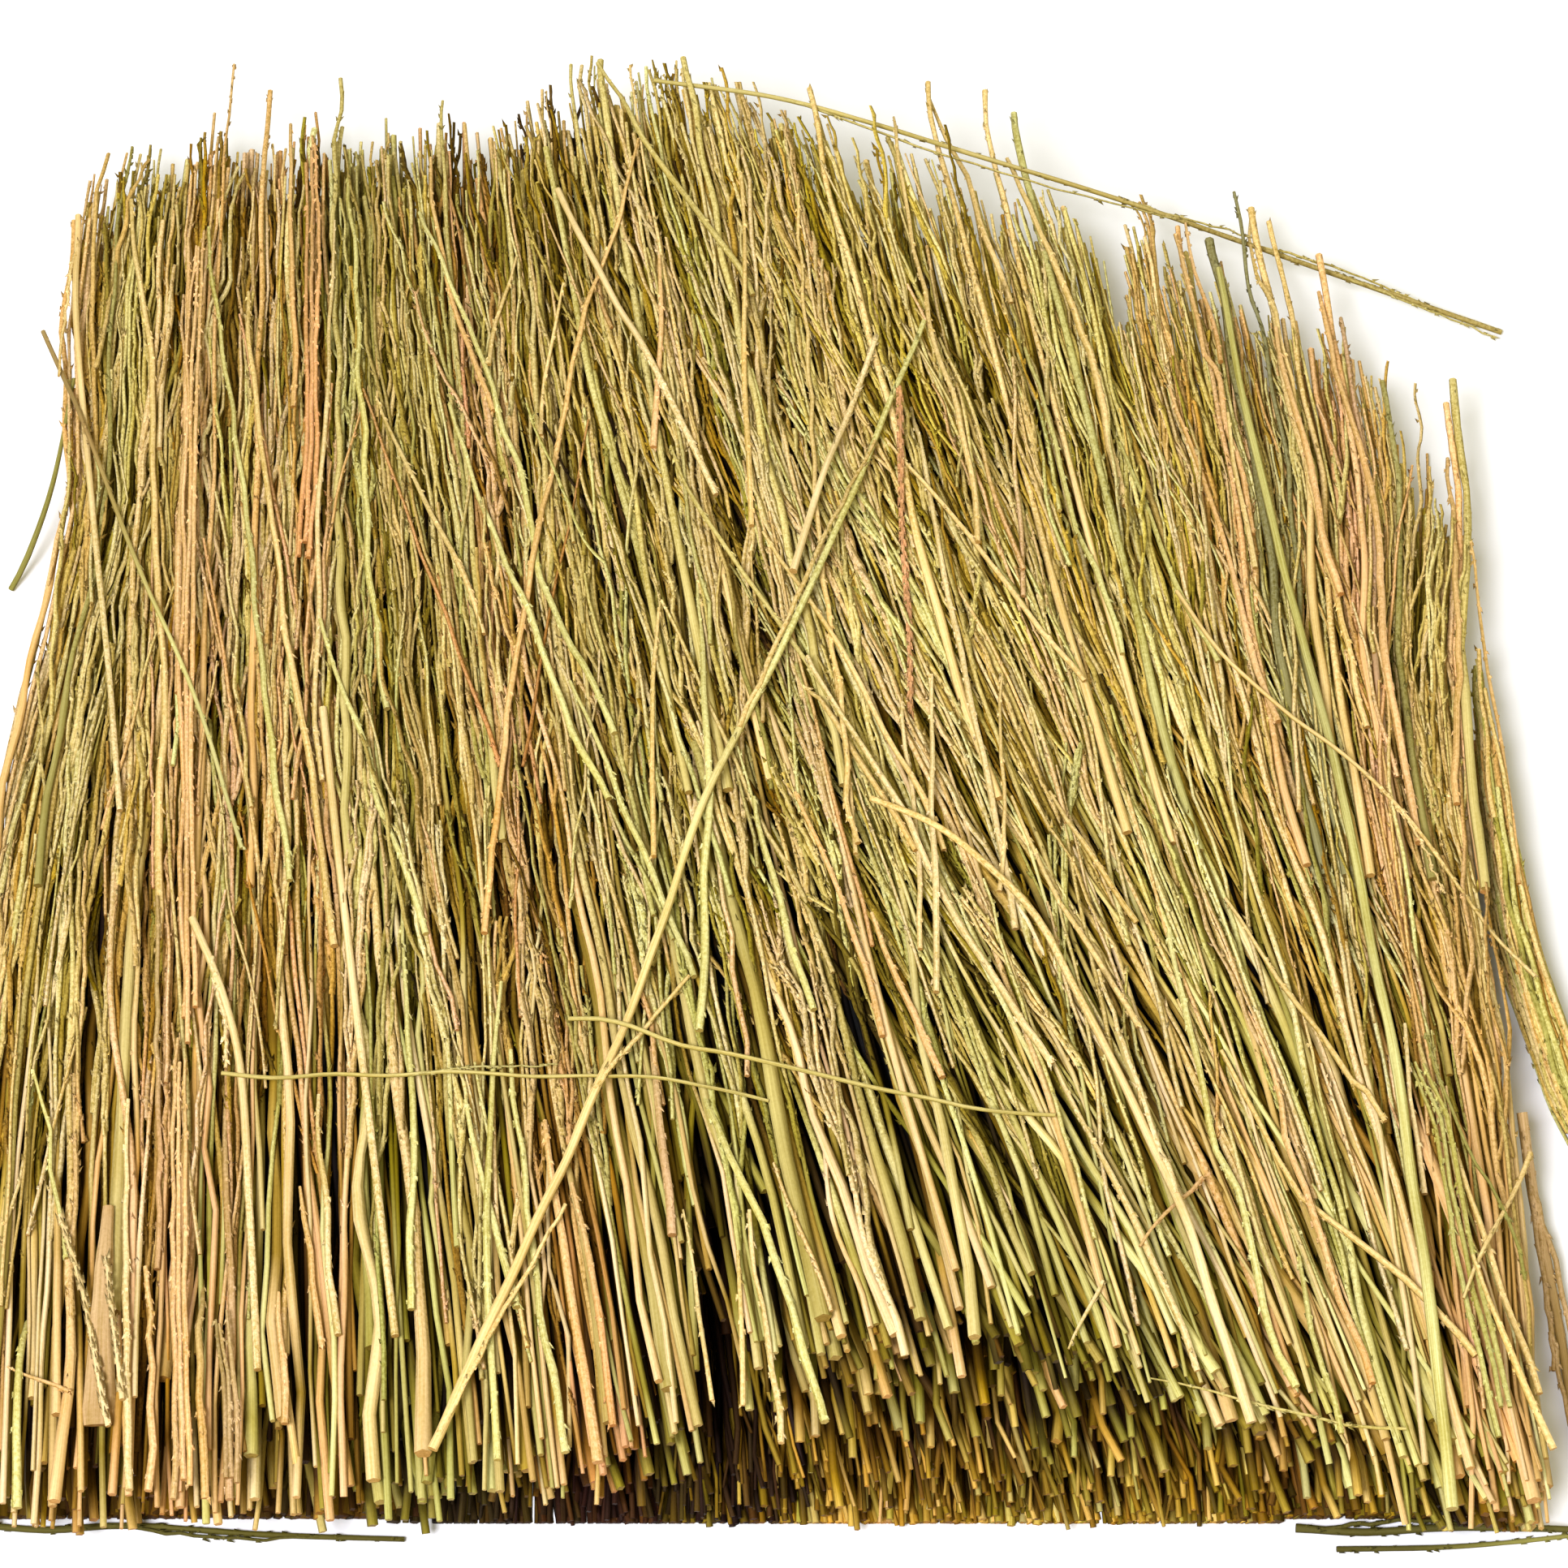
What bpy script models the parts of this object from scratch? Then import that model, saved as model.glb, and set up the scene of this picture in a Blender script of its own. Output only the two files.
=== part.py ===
"""Bunch of dried field grass, lying on its side on a flat surface.

The cut ends face -Y and the tips point along +Y. The grass lies in three layers
of locks, each lock a tuft of stems that cling together, and single stems, leaves
and seed heads rest loose on top of them and on the surface. Metres, +Z up.
"""

import math
import random

import bmesh
import bpy

# The bunch as a whole: the surface is at z = 0, and the origin is under its middle
BUTT_Y = -0.187
TIP_Y = 0.173
LEFT_X = -0.168
RIGHT_X = 0.167
LOCK_INSET = 0.0005

# The back of the bunch: a low mound whose crest runs from the cut ends to the tips
SIDE_HEIGHT = (0.024, 0.021)
CREST_RISE = (0.046, 0.036)
CREST_X = (0.028, -0.018)
CREST_SPREAD = (0.075, 0.085)

# The lean of the stems: how far a tip lies to the left of its own cut end
LEAN = 0.074
LEAN_X = 0.100
LEAN_SPREAD_LEFT = 0.19
LEAN_LEFT_EASE = 0.02
LEAN_SPREAD_RIGHT = 0.05
LEAN_BOW = 0.25

# How the two side edges bend along the bunch: y and shift along x, fading inwards over the spread
LEFT_EDGE = (
    (-0.187, 0.0), (-0.140, -0.0024), (-0.100, -0.0041), (-0.060, -0.0054), (-0.018, -0.0044), (0.004, -0.0025),
    (0.027, -0.0003), (0.050, 0.0018), (0.074, 0.0039), (0.099, 0.0016), (0.124, -0.0012), (0.173, 0.0),
)
RIGHT_EDGE = (
    (-0.187, -0.015), (-0.159, -0.014), (-0.121, -0.0105), (-0.082, -0.009), (-0.018, -0.009), (0.026, -0.007),
    (0.050, -0.003), (0.074, 0.0), (0.173, 0.0),
)
LEFT_EDGE_SPREAD = 0.03
RIGHT_EDGE_SPREAD = 0.035

# The tips end in a line across the bunch that falls back on the right
TIP_SLOPE_X = -0.045
TIP_SLOPE = 0.25
TIP_CORNER_X = 0.090
TIP_CORNER = 10.0

# Locks: name, count, low and high share of the height, share of the lean, sides and stations
LAYERS = (
    {"name": "lock_base", "count": 11, "low": 0.0, "high": 0.36, "lean": 0.45, "sides": 12, "spans": 5},
    {"name": "lock_middle", "count": 12, "low": 0.36, "high": 0.70, "lean": 0.75, "sides": 12, "spans": 5},
    {"name": "lock_top", "count": 14, "low": 0.70, "high": 1.0, "lean": 1.0, "sides": 16, "spans": 6},
)
BASE_BUTT_Y = -0.1735
MIDDLE_BUTT_Y = -0.178
TOP_BUTT_Y = -0.185
TOP_STEP_BACK = 0.013
TOP_STEP_FROM_X = -0.018
TOP_STEP_TO_X = 0.115
BUTT_UNEVEN = 0.0025
TIP_UNEVEN = 0.007
UNDER_TIP_SHORT = 0.012
SECTION_POWER = 3.0
FLAT_UNDER = -0.6
FLAT_GROW = 0.9
GROOVE = 0.80
GROOVE_VARIES = (0.95, 1.03)
THINNING = 0.08
TWIST = 0.35
SHARP_ANGLE = math.radians(50)
SEED = 7

# A lock's ends: how full its ridges and grooves are there, and how far each reaches
CUT_END = {"ridge": 0.94, "groove": 0.76, "uneven": 0.003, "groove_back": 0.004, "hollow": 0.003, "length": 0.008}
TIP_END = {"ridge": 0.74, "groove": 0.46, "uneven": 0.016, "groove_back": 0.009, "hollow": 0.014, "length": 0.032}

# Straw, olive and weathered tones, from the left side of the bunch to the right
TONES = (
    (-0.170, (0.56, 0.40, 0.16)),
    (-0.145, (0.36, 0.31, 0.12)),
    (-0.120, (0.66, 0.46, 0.22)),
    (-0.095, (0.30, 0.23, 0.11)),
    (-0.070, (0.38, 0.34, 0.15)),
    (-0.035, (0.52, 0.33, 0.14)),
    (0.010, (0.55, 0.42, 0.16)),
    (0.060, (0.50, 0.42, 0.17)),
    (0.105, (0.60, 0.43, 0.19)),
    (0.135, (0.40, 0.36, 0.16)),
    (0.170, (0.62, 0.46, 0.20)),
)
LAYER_SHADE = {"lock_base": 0.72, "lock_middle": 0.86, "lock_top": 1.0}
ROUGHNESS = 0.72
STRAW, PALE, OLIVE = (0.68, 0.52, 0.24), (0.78, 0.63, 0.32), (0.30, 0.30, 0.12)
BROWN, RUST, GREY_GREEN = (0.24, 0.18, 0.09), (0.46, 0.22, 0.11), (0.36, 0.36, 0.20)
SHEATH = (0.42, 0.32, 0.19)
SEED_HEAD_SWELL = (0.25, 0.6, 0.95, 0.8, 1.0, 0.75, 0.6, 0.3)

# The tuft that parts from the right side and fans out: y, left side, right side and height, in millimetres
SIDE_TUFT = (
    (30.0, 157.4, 158.8, 20.5), (0.0, 156.2, 160.2, 21.5), (-24.0, 156.4, 162.2, 21.0),
    (-43.0, 157.2, 164.4, 19.5), (-62.0, 160.6, 168.4, 15.5), (-79.0, 164.6, 172.8, 11.0), (-94.0, 169.4, 178.0, 7.5),
)
SIDE_TUFT_SIDES = 12
SIDE_TUFT_GROOVE = 0.86
SIDE_TUFT_UNEVEN = 0.004

rng = random.Random(SEED)


def share_along(y):
    """0 at the cut ends and 1 at the tips."""
    return min(max((y - BUTT_Y) / (TIP_Y - BUTT_Y), 0.0), 1.0)


def between(pair, share):
    return pair[0] + (pair[1] - pair[0]) * share


def back_height(x, y):
    """Height of the top of the bunch above the surface."""
    along = share_along(y)
    off_crest = (x - between(CREST_X, along)) / between(CREST_SPREAD, along)
    return between(SIDE_HEIGHT, along) + between(CREST_RISE, along) * math.exp(-off_crest * off_crest)


def read_table(table, y):
    """The value of a table of (y, value) rows at this y."""
    for (y0, low), (y1, high) in zip(table, table[1:]):
        if y <= y1:
            return low + (high - low) * max((y - y0) / (y1 - y0), 0.0)
    return table[-1][1]


def stem_x(butt_x, y, lean_share=1.0):
    """Where a stem whose cut end is at butt_x lies at this y."""
    along = share_along(y)
    off = butt_x - LEAN_X
    spread = LEAN_SPREAD_RIGHT if off > 0 else LEAN_SPREAD_LEFT
    lean = LEAN * lean_share * math.exp(-((off / spread) ** 2))
    lean *= 1.0 - math.exp(-max(butt_x - LEFT_X, 0.0) / LEAN_LEFT_EASE)
    from_left, from_right = (butt_x - LEFT_X) / LEFT_EDGE_SPREAD, (RIGHT_X - butt_x) / RIGHT_EDGE_SPREAD
    bend = read_table(LEFT_EDGE, y) * math.exp(-from_left * from_left)
    bend += read_table(RIGHT_EDGE, y) * math.exp(-from_right * from_right)
    return butt_x - lean * along * (1.0 + LEAN_BOW * (1.0 - along)) + bend


def tip_y(x):
    """The line that the tips reach, which falls back towards the right and rounds the corner."""
    slope = TIP_SLOPE * max(x - TIP_SLOPE_X, 0.0)
    return TIP_Y - slope - TIP_CORNER * max(x - TIP_CORNER_X, 0.0) ** 2


def butt_y(layer_name, x):
    """The line of the cut ends, which steps back on top right of the middle."""
    if layer_name == "lock_base":
        return BASE_BUTT_Y
    if layer_name == "lock_middle":
        return MIDDLE_BUTT_Y
    stepped = TOP_STEP_FROM_X < x < TOP_STEP_TO_X
    return TOP_BUTT_Y + (TOP_STEP_BACK if stepped else 0.0)


def tone(x):
    """The colour of the grass at this place across the bunch."""
    for (x0, low), (x1, high) in zip(TONES, TONES[1:]):
        if x <= x1:
            share = max((x - x0) / (x1 - x0), 0.0)
            return [a + (b - a) * share for a, b in zip(low, high)]
    return list(TONES[-1][1])


def make_material(name, colour, roughness=ROUGHNESS):
    material = bpy.data.materials.new(name)
    material.use_nodes = True
    shader = material.node_tree.nodes["Principled BSDF"]
    shader.inputs["Base Color"].default_value = (*colour, 1.0)
    shader.inputs["Roughness"].default_value = roughness
    shader.inputs["Metallic"].default_value = 0.0
    material.diffuse_color = (*colour, 1.0)
    return material


def loft(name, rings, start, end, colour):
    """A closed body through rings of equal count, with a point that closes each end."""
    shape = bmesh.new()
    rows = [[shape.verts.new(point) for point in ring] for ring in rings]
    first, last = shape.verts.new(start), shape.verts.new(end)
    sides = len(rows[0])
    for low, high in zip(rows, rows[1:]):
        for i in range(sides):
            j = (i + 1) % sides
            shape.faces.new((low[i], low[j], high[j], high[i]))
    for i in range(sides):
        j = (i + 1) % sides
        shape.faces.new((rows[0][j], rows[0][i], first))
        shape.faces.new((rows[-1][i], rows[-1][j], last))
    bmesh.ops.triangulate(shape, faces=[face for face in shape.faces if len(face.verts) > 3])
    bmesh.ops.recalc_face_normals(shape, faces=shape.faces[:])
    mesh = bpy.data.meshes.new(name)
    shape.to_mesh(mesh)
    shape.free()
    mesh.materials.append(make_material(name, colour))
    mesh.shade_smooth()
    mesh.set_sharp_from_angle(angle=SHARP_ANGLE)
    made = bpy.data.objects.new(name, mesh)
    bunch.objects.link(made)
    return made


def section_point(angle, grow, flat_under):
    """A point of a rounded-box section, -1 to 1 each way, drawn in or out by grow."""
    across, upward = math.cos(angle), math.sin(angle)
    reach = (abs(across) ** SECTION_POWER + abs(upward) ** SECTION_POWER) ** (-1.0 / SECTION_POWER)
    if flat_under and upward * reach < FLAT_UNDER:
        return across * reach * max(grow, FLAT_GROW), -1.0
    return across * reach * grow, upward * reach * grow


def make_lock(layer, index):
    """One lock: a ridged tuft that fills its own share of the layer from cut ends to tips."""
    step = (RIGHT_X - LEFT_X) / layer["count"]
    left, right = LEFT_X + index * step, LEFT_X + (index + 1) * step
    middle = (left + right) / 2
    sides, spans = layer["sides"], layer["spans"]
    on_surface = layer["low"] == 0.0
    butt = butt_y(layer["name"], middle) + rng.uniform(-BUTT_UNEVEN, BUTT_UNEVEN)
    tip = tip_y(stem_x(middle, TIP_Y, layer["lean"])) + rng.uniform(-TIP_UNEVEN, TIP_UNEVEN)
    tip -= UNDER_TIP_SHORT * (1.0 - layer["high"])
    twist = rng.uniform(-TWIST, TWIST)
    turn = 0.0 if on_surface else rng.uniform(0.0, 2.0 * math.pi / sides)

    def place(across, upward, y):
        x0 = stem_x(left, y, layer["lean"]) + LOCK_INSET
        x1 = stem_x(right, y, layer["lean"]) - LOCK_INSET
        x = (x0 + x1) / 2 + across * (x1 - x0) / 2
        z0 = 0.0 if on_surface else layer["low"] * back_height(x, y) + LOCK_INSET
        z1 = layer["high"] * back_height(x, y) - LOCK_INSET
        return x, y, (z0 + z1) / 2 + upward * (z1 - z0) / 2

    def ring(share, ridge_grow, groove_grow, ridge_y, groove_y):
        points = []
        for k in range(sides):
            angle = 2.0 * math.pi * k / sides + turn + twist * share
            grow, y = (groove_grow, groove_y()) if k % 2 else (ridge_grow, ridge_y())
            points.append(place(*section_point(angle, grow, on_surface), y))
        return points

    rings = [ring(
        0.0, CUT_END["ridge"], CUT_END["groove"],
        lambda: butt - rng.uniform(0.0, CUT_END["uneven"]), lambda: butt + CUT_END["groove_back"])]
    body_start, body_end = butt + CUT_END["length"], tip - TIP_END["length"]
    for k in range(spans - 1):
        share = k / (spans - 2)
        y = body_start + (body_end - body_start) * share
        fullness = 1.0 - THINNING * share * share
        groove = fullness * GROOVE * rng.uniform(*GROOVE_VARIES)
        rings.append(ring(share, fullness, groove, lambda: y, lambda: y))
    rings.append(ring(
        1.0, TIP_END["ridge"], TIP_END["groove"],
        lambda: tip + rng.uniform(0.0, TIP_END["uneven"]), lambda: tip - TIP_END["groove_back"]))
    start = place(0.0, 0.0, butt + CUT_END["hollow"])
    end = place(0.0, 0.0, tip - TIP_END["hollow"])
    colour = [part * LAYER_SHADE[layer["name"]] for part in tone(middle)]
    return loft(f"{layer['name']}_{index + 1:02d}", rings, start, end, colour)


def make_side_tuft():
    """The tuft of stems that leans away from the right side and rests on the surface."""
    rings = []
    last = len(SIDE_TUFT) - 1
    for k, (y, left, right, height) in enumerate(SIDE_TUFT):
        points = []
        for i in range(SIDE_TUFT_SIDES):
            grow = SIDE_TUFT_GROOVE if i % 2 else 1.0
            across, upward = section_point(2.0 * math.pi * i / SIDE_TUFT_SIDES, grow, True)
            ragged = rng.uniform(0.0, SIDE_TUFT_UNEVEN) * 1000 if k in (0, last) else 0.0
            points.append((
                ((left + right) / 2 + across * (right - left) / 2) / 1000,
                (y + (ragged if k == 0 else -ragged)) / 1000,
                height * (1.0 + upward) / 2000))
        rings.append(points)
    ends = []
    for k in (0, last):
        y, left, right, height = SIDE_TUFT[k]
        ends.append(((left + right) / 2000, y / 1000, height / 2000))
    return loft("right_side_tuft", rings, ends[0], ends[1], tone(RIGHT_X))


def smooth_route(points, count):
    """Count points on a smooth curve through the route's own points (Catmull-Rom)."""
    held = [points[0], *points, points[-1]]
    spans = len(points) - 1
    route = []
    for k in range(count):
        whole = min(int(k * spans / (count - 1)), spans - 1)
        t = k * spans / (count - 1) - whole
        p0, p1, p2, p3 = held[whole:whole + 4]
        route.append(tuple(
            0.5 * (2 * b + (c - a) * t + (2 * a - 5 * b + 4 * c - d) * t * t + (3 * b - a - 3 * c + d) * t ** 3)
            for a, b, c, d in zip(p0, p1, p2, p3)
        ))
    return route


def make_stem(name, route, radius, colour, taper=1.0, count=9, resolution=1, swell=None):
    """A single stem as a round tube. Taper is its end radius as a share of radius."""
    curve = bpy.data.curves.new(name, "CURVE")
    curve.dimensions = "3D"
    curve.bevel_depth = radius
    curve.bevel_resolution = resolution
    curve.use_fill_caps = True
    spline = curve.splines.new("POLY")
    spline.points.add(count - 1)
    for k, (point, place) in enumerate(zip(spline.points, smooth_route(route, count))):
        point.co = (*place, 1.0)
        point.radius = swell[k] if swell else 1.0 + (taper - 1.0) * k / (count - 1)
    curve.materials.append(make_material(name, colour))
    made = bpy.data.objects.new(name, curve)
    bunch.objects.link(made)
    return made


def make_blade(name, route, half_widths, half_thick, crown, colour, sides=10):
    """A flattened sheath: an oval section, crowned along its length."""
    rings = []
    last = len(route) - 1
    for k, (x, y, z) in enumerate(route):
        before, after = route[max(k - 1, 0)], route[min(k + 1, last)]
        run_x, run_y = after[0] - before[0], after[1] - before[1]
        run = math.hypot(run_x, run_y)
        points = []
        for i in range(sides):
            angle = 2.0 * math.pi * i / sides
            side, up = math.cos(angle) * half_widths[k], math.sin(angle) * half_thick
            crowned = crown * (1.0 - (side / half_widths[k]) ** 2)
            points.append((x + side * run_y / run, y - side * run_x / run, z + up + crowned))
        rings.append(points)
    start, end = [(route[k][0], route[k][1], route[k][2] + crown) for k in (0, last)]
    return loft(name, rings, start, end, colour)


def on_back(radius, *places):
    """Route points laid on the back of the bunch: x, y and clearance, in millimetres."""
    route = []
    for x_mm, y_mm, clear_mm in places:
        x, y = x_mm / 1000, y_mm / 1000
        route.append((x, y, back_height(x, y) + radius + clear_mm / 1000))
    return route


def outright(*places):
    """Route points given as x, y and z, in millimetres."""
    return [(x / 1000, y / 1000, z / 1000) for x, y, z in places]


def make_stalks():
    """The stout single stalks that lie loose on the back of the bunch."""
    r = 0.00105
    make_stem("long_diagonal_stalk", on_back(
        r, (-69, -180.5, 1), (-53, -143.5, 1.2), (-34, -99.5, 1.9), (-15, -42.5, 1),
        (6, 9.5, 1), (19, 51.5, 2), (27, 77.5, 3.6), (32, 93.5, 3.4)), r, STRAW, 0.6, 15, 2)
    r = 0.0009
    make_stem("pale_diagonal_stalk", on_back(
        r, (2, 13.5, 0.8), (9, 43.5, 0.8), (21, 86.5, 1)), r, PALE, 0.7, 6, 2)
    make_stem("pale_front_stalk", on_back(
        r, (-127, -51.5, 0.5), (-119, -70.5, 0.5), (-114, -89.5, 0.5), (-110, -122.5, 0.5),
        (-106, -157.5, 0.5)), r, PALE, 0.95, 8, 2)
    make_stem("pale_middle_stalk", on_back(
        r, (-102, 2.5, 0.5), (-95, -45.5, 0.5), (-87, -96.5, 0.5), (-81, -134.5, 0.5),
        (-78, -153.5, 0.5)), r, PALE, 0.95, 8, 2)
    r = 0.0011
    make_stem("forked_pale_stalk", on_back(
        r, (91, -179.5, 0.8), (77, -131.5, 0.8), (54, -75.5, 0.8), (36, -57.5, 0.8),
        (18, -47.5, 0.8)), r, PALE, 0.6, 9, 2)
    make_stem("left_outer_stalk", outright(
        (-181.6, 60.5, 1.2), (-177.2, 65.5, 7.6), (-171.6, 80.5, 16.2), (-168, 106, 23.8)),
        r, GREY_GREEN, 0.7, 9)
    r = 0.0018
    make_stem("broad_green_stalk", on_back(
        r, (131, -190.5, 0.8), (128, -94.5, 0.8), (122, -21.5, 0.8), (116, 22.5, 0.8),
        (108, 84.5, 0.8), (104, 134.5, 0.8)), r, GREY_GREEN, 0.55, 12, 2)


def make_thin_stems():
    """The thin single stems: two that cross the bunch, and those that curve or slant over it."""
    r = 0.00045
    make_stem("crossing_stem_left", on_back(
        r, (-118, -89.5, 2.6), (-88, -93.5, 2.6), (-58, -99.5, 1.2), (-35, -106.5, 0.4),
        (-3, -118.5, 0.5)), r, OLIVE, 0.8, 10)
    r = 0.0005
    make_stem("crossing_stem_right", on_back(
        r, (-44, -91.5, 4.6), (-33, -95.5, 4.8), (-19, -103.5, 2.6), (6, -113.5, 0.8),
        (35, -120.5, 0.8), (54, -120.5, 0.8)), r, OLIVE, 0.8, 11)
    make_stem("slanting_peach_stem", on_back(
        r, (88, 31.5, 0.8), (97, 14.5, 0.8), (110, 1.5, 4.6), (128, -16.5, 4.6),
        (147, -43.5, 1), (161, -62, 0.8)), r, STRAW, 0.8, 11)
    r = 0.0006
    make_stem("left_dark_stem", on_back(
        r, (-177, 121.5, 1), (-165, 92.5, 3), (-146, 43.5, 0.8), (-129, 1.5, 0.8),
        (-118, -31.5, 0.8)), r, BROWN, 0.8, 10)
    r = 0.0008
    make_stem("curved_pale_stem", on_back(
        r, (-53, 135.5, 0.8), (-47, 119.5, 0.8), (-42, 107.5, 0.8), (-31, 80.5, 0.8),
        (-15, 38.5, 0.8)), r, PALE, 0.9, 9)
    make_stem("curved_tan_stem", on_back(
        r, (-172, 158.5, 0.8), (-169, 123.5, 0.8), (-161, 73.5, 0.8), (-153, 25.5, 0.8),
        (-146, -19.5, 0.8)), r, STRAW, 0.9, 9)
    r = 0.0007
    make_stem("trailing_panicle_stem", outright(
        (-31, 166, 62), (-3, 165, 57.5), (20, 163, 51), (43, 160, 44), (81, 156, 31.5),
        (117, 150, 20), (176, 140, 1.2)), r, STRAW, 1.3, 13)


def make_heads_and_sheath():
    """The rust-coloured spikelet head, two pale seed heads and one broad leaf sheath."""
    r = 0.0013
    make_stem("red_spikelet_head", on_back(
        r, (26, 70.5, 0.6), (26, 33.5, 0.6), (27, 7.5, 0.6), (27, -19.5, 0.6)),
        r, RUST, count=10, swell=(0.3, 0.7, 1.0, 0.75, 1.0, 0.7, 1.05, 0.8, 0.6, 0.35))
    r = 0.0011
    make_stem("seed_head_outer", on_back(
        r, (-135, -170, 2.7), (-140.3, -149, 2.7), (-143, -139, 1.8), (-149, -122.5, 0.8)),
        r, PALE, count=8, swell=SEED_HEAD_SWELL)
    r = 0.0010
    make_stem("seed_head_inner", on_back(
        r, (-131.9, -166.5, 1), (-133.8, -156, 1.6), (-136, -145.5, 2.8), (-138.3, -133, 2.7)),
        r, PALE, count=8, swell=SEED_HEAD_SWELL)
    r = 0.0006
    make_blade("leaf_sheath", on_back(
        r, (-137.4, -168.5, 0.6), (-138.2, -150, 0.6), (-138.9, -135, 0.6), (-139.5, -119.5, 0.6)),
        (0.0036, 0.0025, 0.0019, 0.0011), 0.0005, 0.0008, SHEATH)


def make_fallen_stalks():
    """The dark stalks that have fallen onto the surface in front of the cut ends and beside them."""
    r = 0.0012
    make_stem("right_fallen_stem", outright(
        (156.2, -92, 18), (158.2, -108, 10), (160.8, -126, 5), (162.6, -147, 2), (163, -168, 1.3)),
        r, BROWN, 0.8, 9)
    make_stem("floor_stalk_left", outright(
        (-166, -179, 1.3), (-150, -180.5, 1.4), (-133, -179.5, 1.3), (-105, -181.5, 1.3),
        (-77, -182.5, 1.3)), r, BROWN, 0.7, 9)
    make_stem("floor_stalk_right", outright(
        (104, -180, 1.3), (118, -181, 1.4), (134, -180.5, 2.6), (150, -181.5, 4.4),
        (168, -182.5, 5.2)), r, BROWN, 0.7, 9)
    r = 0.0008
    make_stem("floor_twig_right", outright(
        (112, -184.5, 0.9), (135, -184, 0.9), (156, -182, 0.9), (172, -179.5, 0.9)),
        r, BROWN, 0.7, 7)


for leftover in list(bpy.data.objects):
    bpy.data.objects.remove(leftover, do_unlink=True)
bunch = bpy.data.collections.new("dried_field_grass_bunch")
bpy.context.scene.collection.children.link(bunch)

for layer in LAYERS:
    for index in range(layer["count"]):
        make_lock(layer, index)
make_side_tuft()
make_stalks()
make_thin_stems()
make_heads_and_sheath()
make_fallen_stalks()
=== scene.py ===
import bpy
import math
import numpy as np
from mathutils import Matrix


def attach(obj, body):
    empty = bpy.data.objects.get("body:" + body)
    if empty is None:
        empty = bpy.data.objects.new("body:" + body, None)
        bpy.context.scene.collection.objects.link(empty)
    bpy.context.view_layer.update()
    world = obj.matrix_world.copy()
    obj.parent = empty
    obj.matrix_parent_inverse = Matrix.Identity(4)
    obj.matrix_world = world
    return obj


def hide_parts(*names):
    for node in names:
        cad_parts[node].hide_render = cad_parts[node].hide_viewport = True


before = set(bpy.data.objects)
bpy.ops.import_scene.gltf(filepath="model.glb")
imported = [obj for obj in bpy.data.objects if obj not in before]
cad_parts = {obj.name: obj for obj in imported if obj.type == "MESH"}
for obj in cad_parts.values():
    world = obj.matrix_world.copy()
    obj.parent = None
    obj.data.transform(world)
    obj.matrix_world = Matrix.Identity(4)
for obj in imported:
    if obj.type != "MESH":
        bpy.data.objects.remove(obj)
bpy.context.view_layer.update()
print("frame loaded")

shape = {  # the lie of the bunch, metres
    "buttY": -0.187, "tipY": 0.173, "leftX": -0.168, "rightX": 0.167,
    "sideHeight": (0.024, 0.021), "crestRise": (0.046, 0.036),
    "crestX": (0.028, -0.018), "crestSpread": (0.075, 0.085),
    "lean": 0.074, "leanX": 0.100, "leanLeft": 0.19, "leanEase": 0.02, "leanRight": 0.05, "leanBow": 0.25,
    "tipSlopeX": -0.045, "tipSlope": 0.25, "tipCornerX": 0.090, "tipCorner": 10.0,
    "stepBack": 0.013, "stepFrom": -0.018, "stepTo": 0.115, "stepLeft": 0.010, "stepRight": 0.012,
    "topButt": -0.185, "middleButt": -0.178, "baseButt": -0.1735, "sideMargin": 0.0015,
    "planeY": -0.1785, "planeSlope": 0.62, "gapX": -0.006, "gapHalf": 0.0095,
}
edges = (  # how the side edges bend: side, metres it fades inwards over, y mm and shift mm
    ("leftX", 0.03,
     ((-187, 0), (-140, -2.4), (-100, -4.1), (-60, -5.4), (-18, -4.4), (4, -2.5), (27, -0.3), (50, 1.8),
      (74, 3.9), (99, 1.6), (124, -1.2), (173, 0))),
    ("rightX", 0.035,
     ((-187, -15), (-159, -14), (-121, -10.5), (-82, -9), (-18, -9), (26, -7), (50, -3), (74, 0), (173, 0))),
)
layers = (  # slot, node, number of locks, top of the layer as a share of the height
    ("grass_base", "lock_base", 11, 0.36),
    ("grass_middle", "lock_middle", 12, 0.70),
    ("grass_top", "lock_top", 14, 1.0),
)


def between(pair, share):
    return pair[0] + (pair[1] - pair[0]) * share


def shareAlong(y):
    return np.clip((y - shape["buttY"]) / (shape["tipY"] - shape["buttY"]), 0, 1)


def backHeight(x, y):
    along = shareAlong(y)
    off = (x - between(shape["crestX"], along)) / between(shape["crestSpread"], along)
    return between(shape["sideHeight"], along) + between(shape["crestRise"], along) * np.exp(-off * off)


def edgeBend(buttX, y):
    bend = 0.0
    for side, spread, table in edges:
        at, shift = np.array(table, float).T / 1000
        bend = bend + np.interp(y, at, shift) * np.exp(-((buttX - shape[side]) / spread) ** 2)
    return bend


def stemX(buttX, y, leanShare=1.0):
    along = shareAlong(y)
    off = buttX - shape["leanX"]
    spread = np.where(off > 0, shape["leanRight"], shape["leanLeft"])
    lean = shape["lean"] * leanShare * np.exp(-(off / spread) ** 2)
    lean = lean * (1 - np.exp(-np.maximum(buttX - shape["leftX"], 0) / shape["leanEase"]))
    return buttX - lean * along * (1 + shape["leanBow"] * (1 - along)) + edgeBend(buttX, y)


tipSteps = (  # how the row of tips steps in and out: x mm, y mm
    (-168, -8), (-152, -9), (-140, 0), (-120, 0), (-104, -4), (-94, -12), (-52, -16), (-42, -4), (-21, -3),
    (-9, -6), (3, -9), (27, -9), (50, -7), (62, 0), (75, 5), (86, 4), (95, 0), (170, 0),
)


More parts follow.
